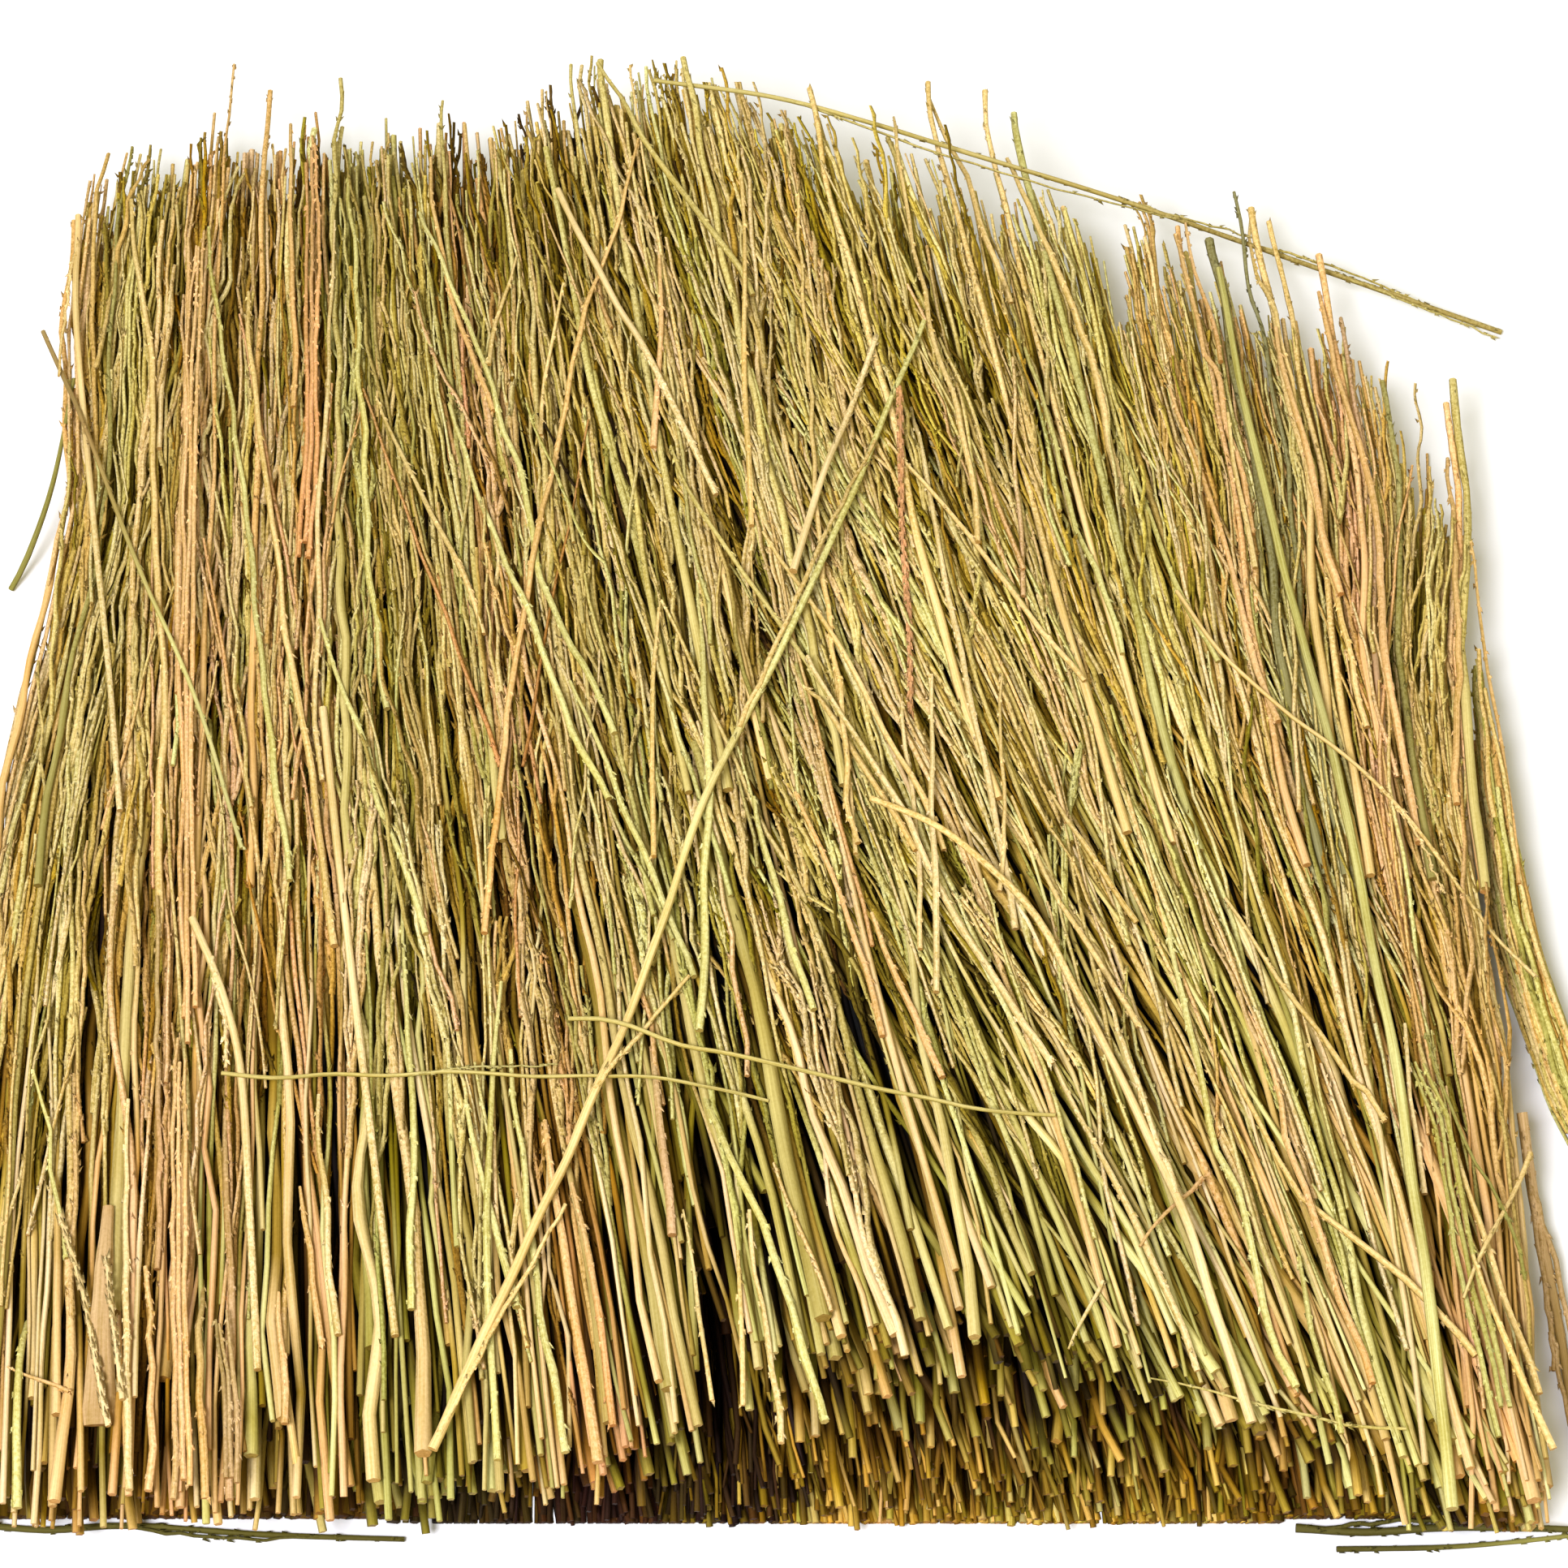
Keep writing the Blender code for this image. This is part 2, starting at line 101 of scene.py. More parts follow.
def tipLine(x):
    at, step = np.array(tipSteps, float).T / 1000
    slope = shape["tipSlope"] * np.maximum(x - shape["tipSlopeX"], 0)
    cornerCut = shape["tipCorner"] * np.maximum(x - shape["tipCornerX"], 0) ** 2
    return shape["tipY"] - slope - cornerCut + np.interp(x, at, step)


def linear(colour):  # display colour 0-255 to linear
    c = np.asarray(colour, float) / 255
    return np.where(c <= 0.04045, c / 12.92, ((c + 0.055) / 1.055) ** 2.4)


palette = {  # display colours of the straw
    "straw": (236, 204, 138), "pale": (242, 215, 158), "olive": (202, 185, 116), "green": (188, 181, 114),
    "sage": (208, 200, 134), "peach": (240, 194, 136), "orange": (224, 168, 112), "tan": (220, 178, 116),
    "brown": (150, 122, 84), "mauve": (196, 160, 122), "dark": (112, 94, 50), "rust": (198, 146, 98),
    "dusty": (168, 148, 96), "taupe": (184, 152, 118), "moss": (156, 146, 84), "slate": (138, 132, 88),
    "golden": (214, 168, 96), "soot": (86, 80, 52),
}
palette = {name: linear(colour) for name, colour in palette.items()}
everyday = {"straw": 0.29, "pale": 0.17, "olive": 0.22, "green": 0.13, "sage": 0.15, "peach": 0.04}
zones = (  # butt line place mm, half width mm, colour at the cut half, colour at the tip half, share of stems
    (-160, 6, "peach", "tan", 0.5), (-151, 6, "pale", "moss", 0.55), (-141, 8, "tan", "moss", 0.75),
    (-126, 7, "peach", "peach", 0.9), (-112, 6, "tan", "mauve", 0.75), (-100, 5, "straw", "orange", 0.65),
    (-88, 6, "peach", "orange", 0.6), (-70, 13, "green", "moss", 0.75), (-52, 6, "straw", "green", 0.5),
    (-36, 9, "orange", "rust", 0.85), (-18, 7, "sage", "straw", 0.5), (-1, 9, "sage", "straw", 0.5),
    (14, 7, "straw", "straw", 0.4), (27, 5, "mauve", "straw", 0.45), (54, 12, "sage", "olive", 0.6),
    (80, 12, "sage", "olive", 0.6), (106, 9, "peach", "straw", 0.4), (122, 7, "straw", "sage", 0.45),
    (133, 5, "green", "peach", 0.6), (141, 4, "straw", "slate", 0.6), (150, 6, "peach", "peach", 0.65),
    (162, 6, "tan", "moss", 0.6),
)
tones = {  # how the palette turns into the colours of single stems; three numbers are for red, green and blue
    "zoneShare": 1.75, "zoneLevel": 0.8, "zoneMost": 0.96, "tipOwn": 0.8, "tipButt": 0.2, "tipRest": 0.86,
    "olive": 0.14, "spread": 0.13, "limits": (0.6, 1.25), "darkPower": np.array([0, 0.12, 0.7]),
    "lightPower": np.array([0, 0.1, 0.4]), "hueSpread": 0.025, "hueMiddle": 0.915, "hueSide": 0.195,
    "hueX": 0.165, "cast": np.array([1.02, 1.01, 1.12]), "lift": np.array([0.44, 0.47, 0.44]),
    "liftX": 0.13, "buttLift": 0.4, "buttGain": 0.88, "tipGain": 1.26, "softFrom": 0.74, "softPower": 0.8,
    "blueSquare": 0.54, "blueLeast": 0.002, "blueOwn": 0.3, "blueHeld": 0.7, "raiseTo": 0.85,
    "raiseLeast": 0.02, "raisePower": -0.16,
}
rng = np.random.default_rng(7)


def ripples(count, waves, heights):
    return [(rng.uniform(*waves), rng.uniform(0, 1), rng.uniform(*heights)) for index in range(count)]


clusters = ripples(6, (0.004, 0.022), (0.03, 0.07))
tufts = ripples(5, (0.012, 0.045), (0.0012, 0.0024))


def clusterTone(x):  # neighbouring stems are alike
    return sum(high * np.sin(2 * np.pi * (x / wave + phase)) for wave, phase, high in clusters)


def deepen(tint):  # the lightest straw is held, and the darker it is, the more saturated
    tint = tint * np.minimum(1, tones["softFrom"] / np.maximum(tint[..., :1], 0.01)) ** tones["softPower"]
    red, green, blue = (tint[..., channel] for channel in range(3))
    held = np.minimum(blue, tones["blueSquare"] * red ** 2 + tones["blueLeast"])
    return np.stack([red, green, tones["blueOwn"] * blue + tones["blueHeld"] * held], -1)


def raiseTone(tint):  # middle tones a little lighter, the lightest held
    return tint * np.maximum(tint[..., :1] / tones["raiseTo"], tones["raiseLeast"]) ** tones["raisePower"]


def pickColours(cutX, tipX, level=0.6):  # two colours a stem, for the places of its cut half and its tip half
    names = list(palette)
    colours = np.array(list(palette.values()))
    count = len(cutX)
    place, width = (np.array([zone[column] for zone in zones]) / 1000 for column in (0, 1))
    zoneShares = np.array([zone[4] for zone in zones])
    plainNames = [names.index(name) for name in everyday]
    made = []
    for half, at in ((2, cutX), (3, tipX)):
        weight = np.exp(-((at[:, None] - place) / width) ** 2) * zoneShares
        strength = weight.max(1) * (tones["zoneShare"] - tones["zoneLevel"] * level)
        inZone = rng.random(count) < np.minimum(strength, tones["zoneMost"])
        zoneName = np.array([names.index(zone[half]) for zone in zones])[weight.argmax(1)]
        plain = rng.choice(plainNames, count, p=list(everyday.values()))
        made.append(colours[np.where(inZone, zoneName, plain)])
    butt, tip = made
    tip = tones["tipOwn"] * tip + tones["tipButt"] * butt
    tip = tones["tipRest"] * tip + tones["olive"] * palette["olive"]
    value = rng.normal(1.0, tones["spread"], (count, 1)) + clusterTone(cutX)[:, None]
    value = np.clip(value, *tones["limits"])
    value = value * np.minimum(value, 1) ** tones["darkPower"] * np.maximum(value, 1) ** tones["lightPower"]
    side = (cutX[:, None] / tones["hueX"]) ** 2
    hue = (1 + rng.normal(0, tones["hueSpread"], (count, 3))) * (tones["hueMiddle"] + tones["hueSide"] * side)
    hue = hue * tones["cast"]
    lift = 1 + tones["lift"] * np.clip(cutX[:, None] / tones["liftX"], 0, 1) ** 2
    butt = raiseTone(butt * value * hue * tones["buttGain"]) * lift ** tones["buttLift"]
    return butt, raiseTone(tip * value * hue * tones["tipGain"]) * lift


owners = []  # every piece: name, node, slot
for slotName, nodeName, count, top in layers:
    owners += [(f"{slotName}_{i + 1:02d}", f"{nodeName}_{i + 1:02d}", slotName) for i in range(count)]
firstOwners = (0, layers[0][2], layers[0][2] + layers[1][2])


def ownerAt(layer, buttX):  # the lock of a layer whose cell holds a place on the butt line
    count = layers[layer][2]
    cell = (shape["rightX"] - shape["leftX"]) / count
    return firstOwners[layer] + np.clip(((buttX - shape["leftX"]) / cell).astype(int), 0, count - 1)


def topOwner(points):  # the upper locks that carry points of the back
    buttX = np.linspace(shape["leftX"] - 0.02, shape["rightX"] + 0.02, 400)  # a little past both sides
    lines = stemX(buttX[None, :], points[:, 1][:, None])
    return ownerAt(2, buttX[np.abs(lines - points[:, 0][:, None]).argmin(1)])


batches = []  # tubes alike in sides and rings
bumps = []  # small pointed husks on the tubes
# painted shade of buried stems: least share, depth over which it darkens, depth to near black, powers for
# red, green, blue
dusk = {"least": 0.055, "fade": 0.0021, "black": 0.012, "power": np.array([1.0, 1.15, 2.8])}


def paintedDepthShade(depth):  # painted shade: colour factor at a depth under the surface of the bunch, darker is also more saturated
    shade = np.exp(-np.maximum(depth, 0) / dusk["fade"])[..., None]
    least = dusk["least"] * np.exp(-np.maximum(depth, 0) / dusk["black"])[..., None]
    return (shade + least * (1 - shade)) ** dusk["power"]


def addTubes(centre, radius, sides, butt, tip, owner, part=None, wide=None, caps=(True, True), depth=0.0):
    count, rings = radius.shape
    step = np.linalg.norm(np.diff(centre, axis=1), axis=2)
    along = np.concatenate([np.zeros((count, 1)), step.cumsum(1)], 1)
    share = along / np.maximum(along[:, -1:], 1e-6)
    blend = np.clip((share - 0.25) / 0.4, 0, 1)[..., None]  # from the colour at the cut to that at the tip
    tint = butt[:, None, :] * (1 - blend) + tip[:, None, :] * blend
    batches.append({
        "centre": centre, "radius": radius, "sides": sides, "caps": caps,
        "wide": np.ones_like(radius) if wide is None else wide,
        "part": np.zeros_like(radius) if part is None else part,
        # the tint carries the painted shade of its depth under the surface
        "tint": deepen(tint * paintedDepthShade(depth + 0 * radius)),
        "owner": np.broadcast_to(owner, count).copy(),
        "along": along, "length": along[:, -1],
        "chance": rng.random(count),
    })
    return batches[-1]


def sampleAt(values, share):  # values on rings, read at shares of the way
    rings = values.shape[1]
    place = np.clip(share, 0, 1) * (rings - 1)
    low = np.minimum(place.astype(int), rings - 2)
    rest = place - low
    rows = np.arange(values.shape[0])[:, None]
    if values.ndim == 3:
        rest = rest[..., None]
    return values[rows, low] * (1 - rest) + values[rows, low + 1] * rest


def unit(vectors):
    return vectors / np.maximum(np.linalg.norm(vectors, axis=-1, keepdims=True), 1e-9)


def frameOf(tangent):
    up = np.zeros_like(tangent)
    up[..., 2] = 1
    side = unit(np.cross(tangent, up))
    return side, np.cross(side, tangent)


# the pile: stems laid one over another on a height map
grid = {"left": -0.215, "front": -0.215, "cellX": 0.0005, "cellY": 0.002, "columns": 860, "rows": 222}
gridX = grid["left"] + (np.arange(grid["columns"]) + 0.5) * grid["cellX"]
gridY = grid["front"] + (np.arange(grid["rows"]) + 0.5) * grid["cellY"]
pile = {
    "depth": 0.0085, "stems": 1440, "plainShare": 0.62, "reach": 5, "soft": 0.28, "tries": 3,
    "under": 0.0004,
}
groundMap = backHeight(gridX[:, None], gridY[None, :]) - pile["depth"]
heightMap = groundMap.copy()


hollows = (  # dark gaps between the upper stems, real gaps that are also painted with shade: from x, y to x, y in mm, width in tenths of a mm
    (49, -173, 65, -193, 60), (17, -180, 33, -197, 55), (-16, -155, -10, -183, 46),
    (33, -102, 38, -121, 36), (35, -157, 46, -186, 22), (-4, -174, 4, -195, 28), (7, -85, 12, -108, 22),
    (-56, -143, -54, -167, 20), (-119, 126, -117, 97, 20), (-88, -150, -88, -170, 20),
    (-79, -161, -75, -178, 22), (-93, -121, -89, -147, 16), (41, -124, 49, -140, 16),
    (-14, -80, -10, -101, 15), (76, -142, 81, -151, 22), (14, -42, 19, -59, 15), (-97, -156, -96, -166, 20),
    (49, -159, 54, -166, 20), (-92, -155, -92, -176, 22), (121, -59, 124, -74, 15), (12, -93, 17, -109, 14),
    (89, -144, 93, -157, 15), (-29, -76, -27, -86, 18), (113, 49, 114, 32, 15), (72, -126, 75, -135, 16),
    (-76, -138, -75, -152, 14), (-27, -162, -25, -173, 14), (-144, -150, -144, -159, 15),
    (112, -164, 114, -173, 15), (-47, -134, -46, -143, 15), (1, -11, 3, -20, 16), (11, 19, 15, 9, 14),
    (-128, 96, -126, 83, 14), (102, -161, 104, -170, 14), (-114, -61, -113, -75, 14),
    (48, -35, 50, -42, 18), (5, -5, 9, -18, 12), (-16, -132, -15, -144, 13), (-2, 33, 1, 25, 16),
    (-52, -76, -50, -87, 13), (31, 68, 33, 60, 15), (-54, -37, -53, -48, 12), (-80, 41, -79, 31, 13),
)
hollowEdge = {"squash": 0.6, "reach": 0.055, "least": 0.9}
hollowMap = np.zeros_like(groundMap)
for x0, y0, x1, y1, wide in hollows:
    way = np.array([x1 - x0, y1 - y0], float)
    offX, offY = gridX[:, None] * 1000 - x0, gridY[None, :] * 1000 - y0
    share = np.clip((offX * way[0] + offY * way[1]) / (way @ way), 0, 1)
    far = np.hypot(offX - share * way[0], (offY - share * way[1]) * hollowEdge["squash"])
    spread = max(wide * hollowEdge["reach"], hollowEdge["least"])
    hollowMap = np.maximum(hollowMap, np.exp(-(far / spread) ** 2))


def cellsOf(x, y):
    column = np.clip(((x - grid["left"]) / grid["cellX"]).astype(int), 4, grid["columns"] - 5)
    row = np.clip(((y - grid["front"]) / grid["cellY"]).astype(int), 0, grid["rows"] - 1)
    return column, row


def slide(values, reach, kind):
    padded = np.pad(values, reach, mode="edge")
    windows = np.lib.stride_tricks.sliding_window_view(padded, 2 * reach + 1)
    if kind == "max":
        return windows.max(1)
    bell = np.hanning(2 * reach + 3)[1:-1]
    return windows @ (bell / bell.sum())


def layOn(x, y, radius, reach, soft, least=None):
    column, row = cellsOf(x, y)
    half = int(math.ceil(radius / grid["cellX"]))
    offsets = np.arange(-half, half + 1)
    across = np.clip(column[:, None] + offsets, 0, grid["columns"] - 1)
    under = heightMap[across, row[:, None]].max(1)
    high = slide(slide(under, reach, "max"), reach, "mean")
    z = soft * high + (1 - soft) * slide(under, reach, "mean") + radius
    if least is not None:
        z = np.maximum(z, least)
    roof = z[:, None] + np.sqrt(np.maximum(radius ** 2 - (offsets * grid["cellX"]) ** 2, 0))[None, :]
    np.maximum.at(heightMap, (across, np.broadcast_to(row[:, None], across.shape)), roof)
    return z


def wander(y, amount, waves):
    made = np.zeros_like(y)
    for wave in waves:
        high = amount * rng.normal()
        turns = y / (wave * rng.uniform(0.7, 1.4)) + rng.random()
        made += high * np.sin(2 * np.pi * turns)
    return made


tilts = {  # extra lean of single stems: where it is largest, and its spread in lower and upper stems
    "centreX": 0.085, "centreWidth": 0.055, "edgeX": 0.165, "edgeWidth": 0.02, "edgeFade": 0.8,
    "upperFrom": 0.85, "lowerSpread": (0.034, 0.040), "upperSpread": (0.055, 0.060),
    "levels": (0, 0.75, 0.95, 1), "means": (0.48, 0.48, 0.34, 0.08), "strayShare": (0.05, 0.2),
    "strayTilt": 0.12,
}


def tiltOf(buttX, level):
    centre = np.exp(-((buttX - tilts["centreX"]) / tilts["centreWidth"]) ** 2)
    edge = np.exp(-((abs(buttX) - tilts["edgeX"]) / tilts["edgeWidth"]) ** 2)
    low, more = tilts["lowerSpread"] if level < tilts["upperFrom"] else tilts["upperSpread"]
    mean = centre * np.interp(level, tilts["levels"], tilts["means"])
    tilt = rng.normal(mean, low + more * centre)
    if rng.random() < between(tilts["strayShare"], level):
        tilt += rng.normal(0, tilts["strayTilt"])
    return tilt * (1 - tilts["edgeFade"] * edge)


def buttLine(x):
    left, right = (x - shape["stepFrom"]) / shape["stepLeft"], (shape["stepTo"] - x) / shape["stepRight"]
    return shape["topButt"] + shape["stepBack"] * (np.clip(left, 0, 1) * np.clip(right, 0, 1))


def keepIn(x, y, room=0.001):
    low = stemX(np.full_like(y, shape["leftX"] + shape["sideMargin"]), y) - room
    high = stemX(np.full_like(y, shape["rightX"] - shape["sideMargin"]), y) + room
    return np.minimum(np.maximum(x, low), high)


def tufted(x):  # groups of tips reach further than others
    return sum(high * math.sin(2 * math.pi * (x / wave + phase)) for wave, phase, high in tufts)


notches = (  # gaps between the tips: x mm, how far down they reach y mm, half width mm
    (54, 153, 2.0), (71, 154, 2.5), (80.5, 114, 1.4), (91, 138, 2.0), (100.5, 133, 1.8), (103.5, 124, 1.2),
    (114, 121, 2.4), (121.5, 117, 1.5), (127, 118, 2.0), (136, 115, 2.0), (145, 83, 2.4), (149.5, 66, 2.0),
)
corner = ((0.138, 0.142, 0.1466, 0.1536, 0.16), (0.112, 0.104, 0.076, 0.062, 0.050))  # the right corner: x, y


def beyondTips(x, y):  # where no stem is: the gaps between the tips and the right corner
    out = y > np.interp(x, *corner) + 0.2 * np.maximum(corner[0][0] - x, 0)
    out &= x > corner[0][0]
    for placeX, placeY, half in notches:
        out |= (np.abs(x * 1000 - placeX) < half) & (y * 1000 > placeY)
    return out


def frontPlane(z):  # cut ends keep behind a slanting plane, higher ones reach further
    return shape["planeY"] - shape["planeSlope"] * z


ends = {  # of the stems of the back, metres; pairs: right and left part, or lowest and highest stem
    "frontMean": 0.0005, "frontSpread": 0.0032, "leftOf": -0.02, "backShare": (0.45, 0.62),
    "backMean": (0.007, 0.013), "backMost": (0.03, 0.045), "gapLevel": 0.95, "gapBack": (0.022, 0.045),
    "lowX": 0.03, "lowLevel": 0.8, "lowShare": 0.75, "lowBack": (0.010, 0.050), "lateShare": 0.10,
    "lateBack": (0.004, 0.05), "laterShare": 0.15, "laterLevel": 0.4, "laterBack": (0.05, 0.12),
    "pivot": (-0.14, 0.06), "tiltTip": 0.08, "tiltReach": 0.09, "tipAt": 0.17, "tipMean": -0.003,
    "tipSpread": 0.0085, "bluntShare": (0.8, 0.38), "shortShare": (0.2, 0.75), "shortPower": 1.5,
    "shortMost": 0.24, "least": 0.08, "bend": 0.00045, "bendWaves": (0.16, 0.08, 0.05), "kink": 0.04,
    "kinkShare": 0.5, "curl": 0.00022, "curlWaves": (0.030, 0.021), "curlFrom": -0.08, "curlOver": 0.10,
    "leastCells": 20,
}


def topStem(buttX, level):
    tilt = tiltOf(buttX, level)
    late = rng.random()
    front = buttLine(buttX) + rng.normal(ends["frontMean"], ends["frontSpread"])
    left = int(buttX < ends["leftOf"])
    if rng.random() < ends["backShare"][left]:
        front += min(rng.exponential(ends["backMean"][left]), ends["backMost"][left])
    if abs(buttX - shape["gapX"]) < shape["gapHalf"] and level < ends["gapLevel"]:
        front += rng.uniform(*ends["gapBack"])
    if buttX < ends["lowX"] and level < ends["lowLevel"] and rng.random() < ends["lowShare"]:
        front += rng.uniform(*ends["lowBack"])
    front = max(front, frontPlane(float(backHeight(buttX, shape["buttY"])) - pile["depth"]))
    if late < ends["lateShare"]:
        front += rng.uniform(*ends["lateBack"])
    elif late < ends["laterShare"] and level > ends["laterLevel"]:
        front += rng.uniform(*ends["laterBack"])
    pivot = rng.uniform(*ends["pivot"])
    tipX = stemX(np.array([buttX]), np.array([ends["tipAt"]]))[0] - tilt * ends["tiltTip"]
    reach = tipLine(tipX) + rng.normal(ends["tipMean"], ends["tipSpread"]) + tufted(tipX)
    blunt = rng.random() < between(ends["bluntShare"], level)
    if not blunt and rng.random() < between(ends["shortShare"], level):
        reach -= rng.uniform(0.0, 1.0) ** ends["shortPower"] * ends["shortMost"]
    reach = max(reach, front + ends["least"])
    y = np.append(np.arange(front, reach, grid["cellY"]), reach)
    lean = tilt * ends["tiltReach"] * np.tanh((y - pivot) / ends["tiltReach"])
    x = stemX(np.full_like(y, buttX), y) - lean
    kink = rng.uniform(front, reach)
    bend = wander(y, ends["bend"], ends["bendWaves"])
    x += bend + rng.normal(0, ends["kink"]) * np.abs(y - kink) * ends["kinkShare"]
    curled = np.clip((y - ends["curlFrom"]) / ends["curlOver"], 0, 1)
    x += wander(y, ends["curl"], ends["curlWaves"]) * curled
    x = keepIn(x, y)
    out = beyondTips(x, y)
    if out.any():
        stop = max(out.argmax() + rng.integers(-1, 2), ends["leastCells"])
        x, y = x[:stop], y[:stop]
    return x, y, blunt


def ringShares(rings, skew):
    return np.linspace(0, 1, rings) ** skew


def resample(x, y, z, rings, skew=1.0):
    share = ringShares(rings, skew)
    own = np.linspace(0, 1, len(x))
    return np.stack([np.interp(share, own, v) for v in (x, y, z)], 1)


culms = {  # radii in metres: skew and scale of their spread, limits, and the thin ones behind the cut
    "skew": 2.4, "scale": 0.00017, "least": 0.00022, "limits": (0.00038, 0.0016), "behind": -0.14,
    "thin": 0.0006, "bluntMost": 0.0009, "bluntShare": (0.5, 0.9), "tip": (0.00028, 0.00048),
    "tipShift": 1.07, "hollowLoft": 0.03, "hollowLevel": 0.93, "hollowOver": 0.3, "hollowSink": 0.0035,
}
topStems = []
for index in range(pile["stems"]):
    level = index / pile["stems"]
    best = None
    for attempt in range(pile["tries"]):
        buttX = rng.uniform(shape["leftX"] + 0.002, shape["rightX"] - 0.002)
        x, y, blunt = topStem(buttX, level)
        column, row = cellsOf(x, y)
        loft = (heightMap - groundMap)[column, row].mean()
        if level < culms["hollowLevel"]:
            loft += culms["hollowLoft"] * hollowMap[column, row].mean()
        if best is None or loft < best[0]:
            best = (loft, buttX, x, y, blunt)
    loft, buttX, x, y, blunt = best
    butt = float(np.clip(rng.gamma(culms["skew"], culms["scale"]) + culms["least"], *culms["limits"]))
    if y[0] > culms["behind"]:
        butt = min(butt, culms["thin"])
    if blunt:
        tip = min(butt, culms["bluntMost"]) * rng.uniform(*culms["bluntShare"])
    else:
        tip = rng.uniform(*culms["tip"])
    z = layOn(x, y, (butt + tip) / 2, pile["reach"], pile["soft"])
    lines = stemX(np.full(2, buttX), y[[0, -1]])
    stem = {"x": x, "y": y, "z": z, "butt": butt, "tip": tip, "level": level}
    stem["cutX"] = buttX + x[0] - lines[0]
    stem["tipX"] = buttX + culms["tipShift"] * (x[-1] - lines[1])
    topStems.append(stem)
print("stems laid", len(topStems))

# the pile's own height over the ground is levelled, keeping its small ups and downs
levelling = {"laidFrom": 0.0006, "reach": (30, 10), "least": 0.02, "cover": 2, "along": 6, "hollowAlong": 2}
loft = heightMap - groundMap
laid = (loft > levelling["laidFrom"]).astype(float)


def blur(values, reachX, reachY):
    for axis, reach in ((0, reachX), (1, reachY)):
        bell = np.hanning(2 * reach + 3)[1:-1]
        bell /= bell.sum()
        values = np.apply_along_axis(lambda line: np.convolve(line, bell, mode="same"), axis, values)
    return values


covered = blur(laid, *levelling["reach"])
excess = blur((loft - pile["depth"]) * laid, *levelling["reach"]) / np.maximum(covered, levelling["least"])
excess = excess * np.clip(covered * levelling["cover"], 0, 1) + pile["under"]
print("pile height over ground mm", round(float(loft[laid > 0].mean() * 1000), 2))
for stem in topStems:
    column, row = cellsOf(stem["x"], stem["y"])
    low = min(max((culms["hollowLevel"] - stem["level"]) / culms["hollowOver"], 0), 1)
    sunk = culms["hollowSink"] * low
    down = slide(excess[column, row], levelling["along"], "mean")
    stem["z"] = stem["z"] - down - sunk * slide(hollowMap[column, row], levelling["hollowAlong"], "mean")
    stem["z"] = np.maximum(stem["z"], stem["butt"])
    begin = int((stem["y"] >= frontPlane(stem["z"])).argmax())
    for axis in "xyz":
        stem[axis] = stem[axis][begin:]
heightMap -= excess


def spreadMax(values, reach):
    made = values.copy()
    for offset in range(-reach, reach + 1):
        made = np.maximum(made, np.roll(values, offset, 0))
    return made


surfaceMap = blur(spreadMax(heightMap, 5), 5, 3)  # the back's smooth upper surface


def fromSides(x, y):  # how far a point lies inside the two long sides
    return np.minimum(x - stemX(shape["leftX"], y), stemX(shape["rightX"], y) - x)


stalks = {  # shares of a stem's length, and its shape
    "skew": 0.8, "taper": 0.8, "panicleFrom": (0.05, 0.48), "panicleOver": 0.08, "uneven": 0.06,
    "thinner": 0.15, "wide": (0.95, 1.3),
    "plainRings": 16, "plainSides": 4, "fineRings": 31, "fineSides": 5,
}
shading = {  # depth for the painted shade, metres: less to the tips and the right, more in hollows and the middle
    "clear": 0.0013, "leftOf": -0.02, "farLeft": 0.38, "farRight": 0.55, "tipFrom": 0.92, "tipOver": 0.05,
    "tipLess": 0.75, "hollow": 0.004, "hollowLevel": 0.95, "hollowOver": 0.2, "rightFrom": 0.07,
    "rightOver": 0.04, "rightLess": 0.55, "middle": 0.6, "middleX": 0.06, "middleY": 0.1, "sideRoom": 0.002,
    "sideShare": 0.7,
}


# how deep each ring lies under the back's surface, for its painted shade
def stemDepth(centre, radius, share, level):
    x, y, z = (centre[..., axis] for axis in range(3))
    cells = cellsOf(x, y)
    depth = surfaceMap[cells] - z - radius - shading["clear"]
    far = np.where(x < shading["leftOf"], shading["farLeft"], shading["farRight"])
    atTip = np.clip((share - shading["tipFrom"]) / shading["tipOver"], 0, 1)
    depth = depth * (1 - far * shareAlong(y)) * (1 - shading["tipLess"] * atTip)
    low = np.clip((shading["hollowLevel"] - level) / shading["hollowOver"], 0, 1)[:, None]
    depth = depth + shading["hollow"] * hollowMap[cells] * low
    toRight = np.clip((x - shading["rightFrom"]) / shading["rightOver"], 0, 1)
    depth = depth * (1 - shading["rightLess"] * toRight)
    inMiddle = np.exp(-(x / shading["middleX"]) ** 2 - (y / shading["middleY"]) ** 2)
    depth = depth * (1 + shading["middle"] * inMiddle)
    return np.minimum(depth, np.maximum(fromSides(x, y) - shading["sideRoom"], 0) * shading["sideShare"])


def addStemGroup(stems, rings, sides):
    def column(name):
        return np.array([stem[name] for stem in stems])

    centre = np.array([resample(stem["x"], stem["y"], stem["z"], rings, stalks["skew"]) for stem in stems])
    share = ringShares(rings, stalks["skew"])[None, :]
    butt, tip = column("butt")[:, None], column("tip")[:, None]
    radius = butt + (tip - butt) * share ** stalks["taper"]
    begin = rng.uniform(*stalks["panicleFrom"], (len(stems), 1))
    part = np.clip((share - begin) / stalks["panicleOver"], 0, 1)
    radius = radius * (1 + stalks["uneven"] * rng.normal(size=radius.shape)) * (1 - stalks["thinner"] * part)
    level = column("level")
    buttColour, tipColour = pickColours(column("cutX"), column("tipX"), level)
    owner = topOwner(centre[:, rings // 2])
    depth = stemDepth(centre, radius, share, level)
    wide = rng.uniform(*stalks["wide"], (len(stems), 1)) + 0 * radius
    return addTubes(centre, radius, sides, buttColour, tipColour, owner, part, wide, depth=depth), begin


